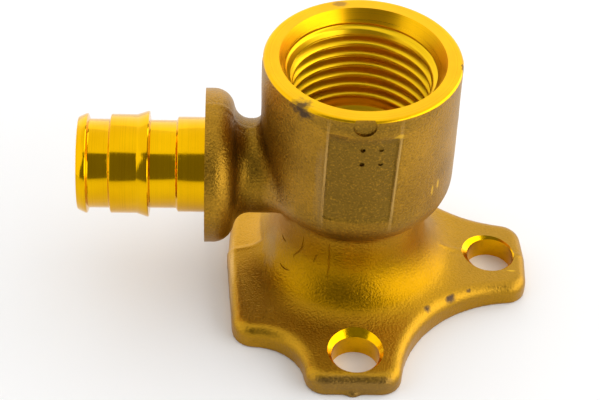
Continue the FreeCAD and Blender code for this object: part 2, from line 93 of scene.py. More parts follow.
@dataclass
class Shell:
    """A closed mesh in millimetres.

    Attributes:
        points: Vertex positions, one row each.
        faces: Vertex indices of each face, counter-clockwise seen from outside.
    """

    points: np.ndarray
    faces: list[Face]

    def to_object(self, name: str, material: bpy.types.Material) -> bpy.types.Object:
        """Makes a scene object of the shell.

        Args:
            name: Name of the object and its mesh.
            material: Finish of all its faces.

        Returns:
            The object, linked to the scene.
        """
        mesh = bpy.data.meshes.new(name)
        faces = self.faces if self.volume() > 0 else [face[::-1] for face in self.faces]
        mesh.from_pydata((self.points * MM).tolist(), [], faces)
        mesh.materials.append(material)
        mesh.validate()
        mesh.update()
        made = bpy.data.objects.new(name, mesh)
        bpy.context.scene.collection.objects.link(made)
        return made

    def volume(self) -> float:
        """Enclosed volume, below zero where the faces look inwards."""
        fans = [(f[0], f[i], f[i + 1]) for f in self.faces for i in range(1, len(f) - 1)]
        a, b, c = (self.points[column] for column in np.array(fans).T)
        return float(np.einsum("ij,ij->", a, np.cross(b, c))) / 6.0


def arc(centre: Point2, radius: float, start: float, end: float, steps: int) -> list[Point2]:
    """Points along an arc.

    Args:
        centre: Centre of the arc.
        radius: Its radius.
        start: First angle in degrees.
        end: Last angle in degrees.
        steps: Number of chords.

    Returns:
        The points, both ends included.
    """
    angles = np.radians(np.linspace(start, end, steps + 1))
    return [(centre[0] + radius * math.cos(a), centre[1] + radius * math.sin(a)) for a in angles]


def through(points: Sequence[Point2], steps: int) -> list[Point2]:
    """Points along a smooth curve through given points.

    Args:
        points: What it goes through; it starts at the second and ends at the last but one.
        steps: Number of chords between two points.

    Returns:
        The points, both ends included.
    """
    p = np.array(points)
    t = np.linspace(0.0, 1.0, steps, endpoint=False)[:, None]
    curve = []
    for a, b, c, d in zip(p, p[1:], p[2:], p[3:]):
        bend = 2 * a - 5 * b + 4 * c - d + t * (3 * (b - c) + d - a)
        curve.append(b + 0.5 * t * (c - a + t * bend))
    return [(float(u), float(v)) for u, v in np.vstack([*curve, p[-2:-1]])]


def smooth_step(span: Point2, value: np.ndarray) -> np.ndarray:
    """Eases from 0 at the start of a span to 1 at its end."""
    t = np.clip((value - span[0]) / (span[1] - span[0]), 0.0, 1.0)
    return t * t * (3 - 2 * t)


def run_lengths(course: np.ndarray) -> np.ndarray:
    """Length along a course at each of its points."""
    return np.concatenate([[0], np.cumsum(np.linalg.norm(np.diff(course, axis=0), axis=1))])


def at_lengths(course: np.ndarray, wanted: np.ndarray) -> np.ndarray:
    """Points of a course at given lengths along it."""
    lengths = run_lengths(course)
    return np.stack([np.interp(wanted, lengths, column) for column in course.T], axis=1)


def polygon_distance(points: np.ndarray, ring: np.ndarray) -> np.ndarray:
    """Signed distance from points to a closed polygon.

    Args:
        points: Rows of two coordinates.
        ring: Corners of the polygon in order.

    Returns:
        Distances, below zero inside the polygon.
    """
    nearest = np.full(len(points), np.inf)
    inside = np.zeros(len(points), dtype=bool)
    for a, b in zip(ring, np.roll(ring, -1, axis=0)):
        edge = b - a
        away = points - a
        share = np.clip(away @ edge / max(edge @ edge, TINY), 0.0, 1.0)
        gap = away - share[:, None] * edge
        nearest = np.minimum(nearest, np.einsum("ij,ij->i", gap, gap))
        crosses = (a[1] > points[:, 1]) != (b[1] > points[:, 1])
        rise = edge[1] if abs(edge[1]) > TINY else TINY
        inside ^= crosses & (points[:, 0] < a[0] + edge[0] * (points[:, 1] - a[1]) / rise)
    return np.where(inside, -1.0, 1.0) * np.sqrt(nearest)


@dataclass
class DistanceTable:
    """Signed distance to a flat profile, worked out once on a fine grid.

    Attributes:
        ring: Corners of the closed profile.
        low: Lowest corner of the table.
        high: Highest corner of the table.
        pitch: Spacing of the table.
        margin: How many points before its end the last reading lies.
    """

    ring: Sequence[Point2]
    low: Point2
    high: Point2
    pitch: float = 0.125
    margin: float = 1.001

    def __post_init__(self) -> None:
        """Fills the table."""
        counts = [int(round((h - a) / self.pitch)) + 1 for a, h in zip(self.low, self.high)]
        u = self.low[0] + self.pitch * np.arange(counts[0])
        v = self.low[1] + self.pitch * np.arange(counts[1])
        grid = np.stack(np.meshgrid(u, v, indexing="ij"), axis=-1).reshape(-1, 2)
        self.values = polygon_distance(grid, np.array(self.ring)).reshape(counts)

    def at(self, u: np.ndarray, v: np.ndarray) -> np.ndarray:
        """Distance at any points.

        Args:
            u: First coordinates.
            v: Second coordinates.

        Returns:
            Distances of the same shape.
        """
        cells: list[np.ndarray] = []
        shares: list[np.ndarray] = []
        for value, low, count in zip((u, v), self.low, self.values.shape):
            place = np.clip((value - low) / self.pitch, 0.0, count - self.margin)
            cells.append(place.astype(np.int32))
            shares.append(place - cells[-1])
        (i, j), (a, b) = cells, shares
        near = self.values[i, j] * (1 - b) + self.values[i, j + 1] * b
        far = self.values[i + 1, j] * (1 - b) + self.values[i + 1, j + 1] * b
        return near * (1 - a) + far * a


def round_and(a: np.ndarray, b: np.ndarray, radius: float) -> np.ndarray:
    """Distance to what two solids share, with the corner between them rounded."""
    corner = np.hypot(np.maximum(a + radius, 0), np.maximum(b + radius, 0))
    return np.minimum(np.maximum(a, b), -radius) + corner


def round_or(a: np.ndarray, b: np.ndarray, radius: float) -> np.ndarray:
    """Distance to two solids together, with a hollow round between them."""
    hollow = np.hypot(np.maximum(radius - a, 0), np.maximum(radius - b, 0))
    return np.maximum(np.minimum(a, b), radius) - hollow


@dataclass
class Unevenness:
    """Smooth seeded waviness in space.

    Attributes:
        cell: Distance between its lattice points.
        seed: Seed of the lattice.
        side: Lattice points along each side before it repeats.
    """

    cell: float
    seed: int
    side: int = 32

    def at(self, points: np.ndarray) -> np.ndarray:
        """Height of the waviness, from about -1 to 1.

        Args:
            points: Rows of x, y, z.

        Returns:
            One height a row.
        """
        lattice = np.random.default_rng(self.seed).uniform(-1.0, 1.0, (self.side,) * 3)
        place = points / self.cell
        low = np.floor(place).astype(int)
        share = place - low
        share = share * share * (3 - 2 * share)
        total = np.zeros(len(points))
        for corner in np.ndindex(2, 2, 2):
            index = (low + corner) % self.side
            weight = np.prod(np.where(corner, share, 1 - share), axis=1)
            total += weight * lattice[index[:, 0], index[:, 1], index[:, 2]]
        return total


def net_surface(values: np.ndarray, low: np.ndarray, pitch: float) -> Shell:
    """Closed quad mesh where a grid of distances changes sign.

    Args:
        values: Distances at the grid points.
        low: Position of the first grid point.
        pitch: Spacing of the grid.

    Returns:
        The mesh, one vertex in each cell that the surface crosses.
    """
    inside = values < 0
    counts = np.array(values.shape) - 1
    corners = [np.array(c) for c in np.ndindex(2, 2, 2)]
    filled = sum(
        inside[tuple(slice(a, a + n) for a, n in zip(c, counts))].astype(np.int8) for c in corners
    )
    cells = np.argwhere((filled > 0) & (filled < len(corners)))
    number = np.full(counts, -1, dtype=np.int64)
    number[tuple(cells.T)] = np.arange(len(cells))
    total = np.zeros((len(cells), 3))
    crossings = np.zeros(len(cells))
    for corner in corners:
        for axis in range(3):
            if corner[axis]:
                continue
            step = np.eye(3, dtype=int)[axis]
            near = values[tuple((cells + corner).T)]
            far = values[tuple((cells + corner + step).T)]
            crosses = (near < 0) != (far < 0)
            share = np.where(crosses, near / np.where(crosses, near - far, 1.0), 0.0)
            total += np.where(crosses[:, None], corner + share[:, None] * step, 0.0)
            crossings += crosses
    points = low + pitch * (cells + total / crossings[:, None])
    faces: list[Face] = []
    for axis in range(3):
        side, up = (axis + 1) % 3, (axis + 2) % 3
        step = np.eye(3, dtype=int)
        first = [slice(None)] * 3
        second = [slice(None)] * 3
        first[axis] = slice(0, -1)
        second[axis] = slice(1, None)
        change = inside[tuple(first)].astype(np.int8) - inside[tuple(second)].astype(np.int8)
        edges = np.argwhere(change != 0)
        signs = change[tuple(edges.T)]
        ring = [edges - step[side] - step[up], edges - step[up], edges, edges - step[side]]
        quads = np.stack([number[tuple(r.T)] for r in ring], axis=1)
        quads[signs < 0] = quads[signs < 0][:, ::-1]
        faces += [tuple(q) for q in quads.tolist()]
    return Shell(points, faces)


def turned(profile: Sequence[Point2], steps: int, axis: Axis, origin: Sequence[float]) -> Shell:
    """Closed solid of revolution.

    Args:
        profile: Radius and height of each point; the first and last lie on the axis, and
            the heights run so that the inside is on the left.
        steps: Flats around the axis.
        axis: What it is turned about.
        origin: Where height zero lies.

    Returns:
        The solid.
    """
    heights = np.array([p[1] for p in profile])
    radii = np.repeat(np.array([p[0] for p in profile])[:, None], steps, axis=1)
    return wound(radii, np.repeat(heights[:, None], steps, axis=1), axis, origin)


def wound(radii: np.ndarray, heights: np.ndarray, axis: Axis, origin: Sequence[float]) -> Shell:
    """Closed solid from rows of radius and height around an axis.

    Args:
        radii: One row for each ring; the first and last ring are points on the axis.
        heights: Heights of the same points.
        axis: What the rings go round.
        origin: Where height zero lies.

    Returns:
        The solid.
    """
    rows, steps = radii.shape
    angle = np.linspace(0.0, 2 * math.pi, steps, endpoint=False)
    along = {Axis.SOCKET: (0, 1, 2), Axis.SPIGOT: (1, 2, 0), Axis.FRONT: (2, 0, 1)}[axis]
    body = np.zeros(((rows - 2) * steps + 2, 3))
    inner = slice(1, rows - 1)
    body[:-2, along[0]] = (radii[inner] * np.cos(angle)).ravel()
    body[:-2, along[1]] = (radii[inner] * np.sin(angle)).ravel()
    body[:-2, along[2]] = heights[inner].ravel()
    first, last = len(body) - 2, len(body) - 1
    body[first, along[2]] = heights[0, 0]
    body[last, along[2]] = heights[-1, 0]
    faces: list[Face] = []
    for k in range(steps):
        nxt = (k + 1) % steps
        faces.append((first, nxt, k))
        for row in range(rows - 3):
            a, b = row * steps, (row + 1) * steps
            faces.append((a + k, a + nxt, b + nxt, b + k))
        top = (rows - 3) * steps
        faces.append((last, top + k, top + nxt))
    return Shell(body + np.array(origin), faces)


# Finishes

GRAIN_OCTAVES = 2.0
PATCH_OCTAVES = 4.0
PATCH_ENDS = (0.32, 0.68)
ROUGH_BAND = (0.25, 0.75)
HOLLOW_BAND = (0.3, 0.5)
PEAK_BAND = (0.55, 0.72)
HOLLOW_TONE = 0.3
PEAK_TONE = 2.1
WORN_TONE = 0.78
FOOT_COVER = 0.95
LAND_COVER = 0.8
EDGE_SCALE = 1.6
EDGE_OCTAVES = 3.0
EDGE_BAND = (0.2, 0.8)


def toned(colour: Colour, share: float) -> Colour:
    """A colour made darker or lighter."""
    return (share * colour[0], share * colour[1], share * colour[2])


class MarkForm(Enum):
    """Outline of a mark before its edge is ragged."""

    ROUND = "round"
    SQUARE = "square"


@dataclass(frozen=True)
class Mark:
    """A stain, scratch or dressed patch in the brass, or a patch of painted shade or painted
    highlight.

    Attributes:
        place: Its middle in millimetres.
        reach: Its half widths along x, y and z in millimetres.
        colour: Colour laid on the metal there.
        strength: How much of that colour shows, up to 1.
        ragged: How far its edge wanders, as a share of its reach.
        soft: Width of its edge, as a share of its reach.
        form: Its outline.
        turn: Angles in degrees that it is turned by about x, y and z.
    """

    place: Point3
    reach: Point3
    colour: Colour
    strength: float = 1.0
    ragged: float = 1.0
    soft: float = 0.3
    form: MarkForm = MarkForm.ROUND
    turn: Point3 = (0.0, 0.0, 0.0)


@dataclass
class NodeBench:
    """Lays out the nodes of one material.

    Attributes:
        tree: Node tree that they go in.
        place: Position on the piece in metres.
    """

    tree: bpy.types.NodeTree
    place: NodeSocket

    def node(self, kind: str, *values: NodeSocket) -> bpy.types.Node:
        """Adds a node and links its first inputs.

        Args:
            kind: Kind of shader node.
            values: What its first inputs are linked to.

        Returns:
            The node.
        """
        made = self.tree.nodes.new(f"ShaderNode{kind}")
        for entry, value in zip(made.inputs, values):
            self.tree.links.new(value, entry)
        return made

    def join(self, operation: str, first: NodeSocket, second: NodeSocket) -> NodeSocket:
        """Joins two values.

        Args:
            operation: What is done with them.
            first: First value.
            second: Second value.

        Returns:
            The result.
        """
        node = self.node("Math", first, second)
        node.operation = operation
        return node.outputs["Value"]

    def noise(self, place: NodeSocket, scale: float, octaves: float) -> NodeSocket:
        """Adds a noise texture.

        Args:
            place: Coordinates that it reads.
            scale: Its scale in those coordinates.
            octaves: How many finer waves it has.

        Returns:
            Its height.
        """
        node = self.node("TexNoise", place)
        node.inputs["Scale"].default_value = scale
        node.inputs["Detail"].default_value = octaves
        return node.outputs["Fac"]

    def spread(self, value: NodeSocket, given: Point2, wanted: Point2) -> NodeSocket:
        """Maps one range onto another.

        Args:
            value: What is mapped.
            given: Its lowest and highest value.
            wanted: What they become.

        Returns:
            The mapped value.
        """
        node = self.node("MapRange", value)
        node.inputs["From Min"].default_value, node.inputs["From Max"].default_value = given
        node.inputs["To Min"].default_value, node.inputs["To Max"].default_value = wanted
        return node.outputs["Result"]

    def patchwork(self, patches: NodeSocket, dark: Colour, light: Colour) -> NodeSocket:
        """Blends two colours by the height of the patches.

        Args:
            patches: Height of the patches.
            dark: Colour of the low ones.
            light: Colour of the high ones.

        Returns:
            The colour.
        """
        node = self.node("ValToRGB", patches)
        for element, end, colour in zip(node.color_ramp.elements, PATCH_ENDS, (dark, light)):
            element.position = end
            element.color = (*colour, 1.0)
        return node.outputs["Color"]

    def mix(self, share: NodeSocket, under: NodeSocket, over: Colour | NodeSocket) -> NodeSocket:
        """Lays one colour over another.

        Args:
            share: How much of the upper colour shows.
            under: The lower colour.
            over: The upper colour.

        Returns:
            The mixed colour.
        """
        node = self.node("Mix", share)
        node.data_type = "RGBA"
        lower, upper = (entry for entry in node.inputs if entry.type == "RGBA")
        self.tree.links.new(under, lower)
        if isinstance(over, tuple):
            upper.default_value = (*over, 1.0)
        else:
            self.tree.links.new(over, upper)
        return next(made for made in node.outputs if made.type == "RGBA")

    def mask(self, mark: Mark) -> NodeSocket:
        """Where a mark shows, with a ragged edge.

        Args:
            mark: The mark.

        Returns:
            Its strength at each point.
        """
        scaled = self.node("Mapping", self.place)
        scaled.vector_type = "TEXTURE"
        scaled.inputs["Location"].default_value = [c * MM for c in mark.place]
        scaled.inputs["Rotation"].default_value = [math.radians(t) for t in mark.turn]
        scaled.inputs["Scale"].default_value = [r * MM for r in mark.reach]
        within = scaled.outputs["Vector"]
        gap = self.node("VectorMath", within)
        if mark.form is MarkForm.ROUND:
            gap.operation = "LENGTH"
            distance = gap.outputs["Value"]
        else:
            gap.operation = "ABSOLUTE"
            x, y, z = self.node("SeparateXYZ", gap.outputs["Vector"]).outputs
            distance = self.join("MAXIMUM", self.join("MAXIMUM", x, y), z)
        wander = self.noise(within, EDGE_SCALE, EDGE_OCTAVES)
        wander = self.spread(wander, EDGE_BAND, (-mark.ragged, mark.ragged))
        edge = (1.0 - mark.soft, 1.0 + mark.soft)
        return self.spread(self.join("ADD", distance, wander), edge, (mark.strength, 0.0))


@dataclass(frozen=True)
class BrassFinish:
    """One finish of the brass.

    Attributes:
        name: Name of the material.
        light: Colour of its clean metal.
        dark: Colour of its tarnish.
        roughness: Lowest and highest roughness.
        patch: Scale of its colour patches per metre.
        grain: Scale of its fine grain per metre.
        grain_height: Height of the grain in metres.
        hollow_shade: How much the grain's hollows darken the colour.
        peak_shine: How much the grain's peaks lighten it.
        foot_colour: Colour that shows below foot_heights, where the die rubbed the metal.
        foot_heights: Heights in metres between which that colour fades out.
        foot_gloss: By how much the roughness is less there.
        foot_grain: Share of the grain's height that is left there.
        foot_shade: Share of the grain's shade that is left there.
        land_colour: Colour of the plate's flat land.
        land_heights: Heights in metres between which that colour fades out.
        turned_about: Axis of its turning lines, if it has them.
        films: Marks that the grain shows through.
        marks: Marks that cover the grain.
    """

    name: str
    light: Colour
    dark: Colour
    roughness: Point2
    patch: float
    grain: float
    grain_height: float
    hollow_shade: float
    peak_shine: float = 0.0
    foot_colour: Colour | None = None
    foot_heights: Point2 = (0.012, 0.017)
    foot_gloss: float = 0.0
    foot_grain: float = 0.6
    foot_shade: float = 0.4
    land_colour: Colour = (0.0, 0.0, 0.0)
    land_heights: Point2 = (0.0042, 0.0062)
    turned_about: Axis | None = None
    films: tuple[Mark, ...] = ()
    marks: tuple[Mark, ...] = ()

    def material(self) -> bpy.types.Material:
        """Builds the finish.

        Returns:
            A material with patchy colour, uneven roughness and a grain.
        """
        made = bpy.data.materials.new(self.name)
        made.use_nodes = True
        tree = made.node_tree
        shader = tree.nodes["Principled BSDF"]
        shader.inputs["Metallic"].default_value = 1.0
        bench = NodeBench(tree, tree.nodes.new("ShaderNodeTexCoord").outputs["Object"])
        grain = bench.noise(self.grain_place(bench), self.grain, GRAIN_OCTAVES)
        patches = bench.noise(bench.place, self.patch, PATCH_OCTAVES)
        colour = bench.patchwork(patches, self.dark, self.light)
        rough = bench.spread(grain, ROUGH_BAND, self.roughness)
        hollow = bench.spread(grain, HOLLOW_BAND, (self.hollow_shade, 0.0))
        peak = bench.spread(grain, PEAK_BAND, (0.0, self.peak_shine))
        if self.foot_colour is not None:
            height = bench.node("SeparateXYZ", bench.place).outputs["Z"]
            foot, gloss, calm, pale = (
                bench.spread(height, self.foot_heights, shares)
                for shares in (
                    (FOOT_COVER, 0.0),
                    (self.foot_gloss, 0.0),
                    (self.foot_grain, 1.0),
                    (self.foot_shade, 1.0),
                )
            )
            worn = toned(self.foot_colour, WORN_TONE)
            colour = bench.mix(foot, colour, bench.patchwork(patches, worn, self.foot_colour))
            land = bench.spread(height, self.land_heights, (LAND_COVER, 0.0))
            colour = bench.mix(land, colour, self.land_colour)
            rough = bench.join("SUBTRACT", rough, gloss)
            grain = bench.join("MULTIPLY", grain, calm)
            hollow = bench.join("MULTIPLY", hollow, pale)
            peak = bench.join("MULTIPLY", peak, pale)
        # Films and marks lay stains and wear, and also painted shade and painted highlights.
        for film in self.films:
            colour = bench.mix(bench.mask(film), colour, film.colour)
        colour = bench.mix(hollow, colour, toned(self.dark, HOLLOW_TONE))
        if self.peak_shine > 0.0:
            colour = bench.mix(peak, colour, toned(self.dark, PEAK_TONE))
        for mark in self.marks:
            colour = bench.mix(bench.mask(mark), colour, mark.colour)
        bump = bench.node("Bump")
        bump.inputs["Distance"].default_value = self.grain_height
        tree.links.new(grain, bump.inputs["Height"])
        tree.links.new(colour, shader.inputs["Base Color"])
        tree.links.new(rough, shader.inputs["Roughness"])
        tree.links.new(bump.outputs["Normal"], shader.inputs["Normal"])
        return made

    def grain_place(self, bench: NodeBench) -> NodeSocket:
        """Coordinates of the grain.

        Args:
            bench: Where its nodes are laid out.

        Returns:
            The position itself, or radius and height about the axis of turning.
        """
        if self.turned_about is None:
            return bench.place
        flat = bench.node("Mapping", bench.place)
        parts = bench.node("SeparateXYZ", bench.place).outputs
        if self.turned_about is Axis.SOCKET:
            flat.inputs["Scale"].default_value = (1.0, 1.0, 0.0)
            along = parts["Z"]
        else:
            flat.inputs["Location"].default_value = (0.0, 0.0, -SPIGOT_HEIGHT * MM)
            flat.inputs["Scale"].default_value = (0.0, 1.0, 1.0)
            along = parts["X"]
        radius = bench.node("VectorMath", flat.outputs["Vector"])
        radius.operation = "LENGTH"
        return bench.node("CombineXYZ", radius.outputs["Value"], along).outputs["Vector"]


SCALE_STAIN: Colour = (0.06, 0.038, 0.026)
GREY_FILM: Colour = (0.31, 0.195, 0.075)
# Painted shade on the sunk panel and on the bowl's lower front, and a brown film just below the
# rim.
SHADE_AND_BROWN_FILM: Colour = (0.195, 0.11, 0.014)
# Painted glint at the panel's top-right corner, and bright scratches on the socket and the side
# ear.
SCRATCH_AND_GLINT: Colour = (0.85, 0.5, 0.03)
# Painted highlight on the plate's left edge and on the panel's side walls, and a lighter rubbed
# patch at the bowl's left front.
EDGE_HIGHLIGHT_AND_WEAR: Colour = (0.72, 0.44, 0.13)
TRIMMED: Colour = (0.57, 0.29, 0.023)
# Darker brown along the front ear's edge.
EAR_EDGE_DARKENING: Colour = (0.17, 0.11, 0.05)
EAR_FILM: Colour = (0.36, 0.19, 0.02)
# Darker brown over the neck between flange and socket.
NECK_DARKENING: Colour = (0.15, 0.078, 0.005)
RIM_STAIN: Colour = (0.36, 0.19, 0.03)
THREAD_FILM: Colour = (0.83, 0.51, 0.009)
FORGED = BrassFinish(
    name="forged_brass",
    light=(0.448, 0.232, 0.019),
    dark=(0.306, 0.156, 0.0127),
    roughness=(0.33, 0.47),
    patch=150.0,
    grain=3600.0,
    grain_height=0.0001,
    hollow_shade=0.4,
    peak_shine=0.42,
    foot_colour=(0.445, 0.218, 0.0004),
    foot_gloss=0.03,
    foot_grain=0.73,
    foot_shade=0.45,
    land_colour=(0.485, 0.255, 0.016),
    land_heights=(0.0037, 0.0052),
    films=(
        Mark((-15.6, 6.0, 4.0), (2.75, 5.9, 4.5), TRIMMED, 0.85, 0.12, 0.05, MarkForm.SQUARE),
        # Painted shade over the floor of the sunk panel.
        Mark(
            (-0.45, -13.1, 28.65), (4.95, 1.3, 7.25), SHADE_AND_BROWN_FILM, 0.88, 0.05, 0.06,
            MarkForm.SQUARE, (0.0, 1.6, 0.0),
        ),
        Mark((-1.5, -13.2, 37.5), (7.5, 1.8, 1.1), SHADE_AND_BROWN_FILM, 0.75, 0.5, 0.6),
        Mark((-5.75, -12.1, 26.0), (0.6, 1.2, 6.5), GREY_FILM, 0.45, 0.7, 0.5),
        Mark((-11.6, -2.0, 7.2), (0.9, 2.4, 4.0), GREY_FILM, 0.5, 0.6, 0.5),
        # Darker band along the front ear's front edge.
        Mark((-0.3, -25.2, 1.6), (8.5, 1.3, 2.0), EAR_EDGE_DARKENING, 0.6, 0.5, 0.5),
        # Painted highlight along the plate's left edge.
        Mark((-17.5, -4.0, 3.0), (0.6, 6.5, 0.9), EDGE_HIGHLIGHT_AND_WEAR, 0.8, 0.5, 0.5),
        # Darkens the neck between flange and socket.
        Mark((-15.3, 0.0, 19.9), (3.7, 8.0, 8.0), NECK_DARKENING, 0.75, 0.4, 0.4),
        # Painted shade on the lower front of the bowl.
        Mark((-0.5, -11.5, 19.8), (9.0, 4.0, 2.4), SHADE_AND_BROWN_FILM, 0.45, 0.3, 0.5),
        Mark((-10.2, -7.4, 20.5), (2.2, 2.2, 2.6), EDGE_HIGHLIGHT_AND_WEAR, 0.3, 0.5, 0.6),
        Mark((21.5, 0.0, 3.4), (6.5, 9.5, 2.0), EAR_FILM, 0.6, 0.4, 0.5),
    ),
    marks=(
        # Painted highlights on the panel's drafted left and right walls.
        Mark(
            (-5.14, -12.42, 28.9), (0.14, 0.5, 7.0), EDGE_HIGHLIGHT_AND_WEAR, 0.6, 0.6, 0.5,
            MarkForm.SQUARE, (0.0, 1.0, 0.0),
        ),
        Mark(
            (4.32, -12.75, 28.6), (0.16, 0.5, 7.0), EDGE_HIGHLIGHT_AND_WEAR, 0.55, 0.6, 0.5,
            MarkForm.SQUARE, (0.0, 2.1, 0.0),
        ),
        # Painted glint at the panel's top-right corner.
        Mark((4.3, -12.75, 36.0), (0.6, 0.5, 0.35), SCRATCH_AND_GLINT, 0.6, 0.5, 0.4),
        Mark((-8.5, -10.3, 38.4), (1.6, 1.2, 1.1), SCALE_STAIN, 0.9, 0.7, 0.5),
        Mark(
            (10.4, -11.9, 3.4), (0.6, 0.45, 0.8), SCALE_STAIN, 0.95, 0.3, 0.4,
            MarkForm.ROUND, (0.0, 0.0, 40.0),
        ),
        Mark(
            (13.95, -9.4, 3.3), (0.85, 0.45, 0.8), SCALE_STAIN, 0.95, 0.3, 0.4,
            MarkForm.ROUND, (0.0, 0.0, 37.0),
        ),
        Mark(
            (16.7, -7.8, 3.4), (0.36, 0.22, 0.6), SCALE_STAIN, 0.8, 0.3, 0.4,
            MarkForm.ROUND, (0.0, 0.0, 31.0),
        ),
        Mark((9.72, -9.29, 23.9), (0.16, 0.3, 0.8), SCRATCH_AND_GLINT, 0.7, 0.4, 0.4),
        Mark((10.5, -8.4, 24.3), (0.16, 0.3, 0.7), SCRATCH_AND_GLINT, 0.7, 0.4, 0.4),
        Mark((23.3, -3.5, 3.4), (0.55, 0.12, 0.4), SCRATCH_AND_GLINT, 0.7, 0.3, 0.4),
    ),
)
TURNED = BrassFinish(
    name="turned_brass",
    light=(0.90, 0.50, 0.0017),
    dark=(0.80, 0.42, 0.0012),
    roughness=(0.14, 0.26),
    patch=180.0,
    grain=1500.0,
    grain_height=0.00001,
    hollow_shade=0.15,
)
TAPPED = BrassFinish(
    name="tapped_brass",
    light=(0.92, 0.505, 0.0045),
    dark=(0.82, 0.43, 0.004),
    roughness=(0.25, 0.37),
    patch=200.0,
    grain=5000.0,
    grain_height=0.000006,
    hollow_shade=0.15,
    turned_about=Axis.SOCKET,
    films=(
        Mark((0.0, 0.0, 24.0), (11.2, 11.2, 13.0), THREAD_FILM, 1.0, 0.0, 0.01, MarkForm.SQUARE),
    ),
    marks=(
        Mark((-8.6, -10.2, 38.8), (1.35, 1.1, 0.9), SCALE_STAIN, 0.9, 0.6, 0.5),
        Mark((-2.74, 12.1, 39.1), (1.0, 0.55, 0.5), RIM_STAIN, 0.85, 0.3, 0.3),
        Mark((13.2, -1.6, 38.8), (0.3, 0.9, 0.35), SCALE_STAIN, 0.8, 0.9, 0.3),
    ),
)
SPIGOT = BrassFinish(
    name="spigot_brass",
    light=(0.84, 0.46, 0.0014),
    dark=(0.76, 0.40, 0.0012),
    roughness=(0.09, 0.18),
    patch=160.0,
    grain=5000.0,
    grain_height=0.000007,
    hollow_shade=0.12,
    turned_about=Axis.SPIGOT,
)
FINISHES = {Skin.FORGED: FORGED, Skin.TURNED: TURNED, Skin.TAPPED: TAPPED, Skin.SPIGOT: SPIGOT}


# The forging and the tools that machine it


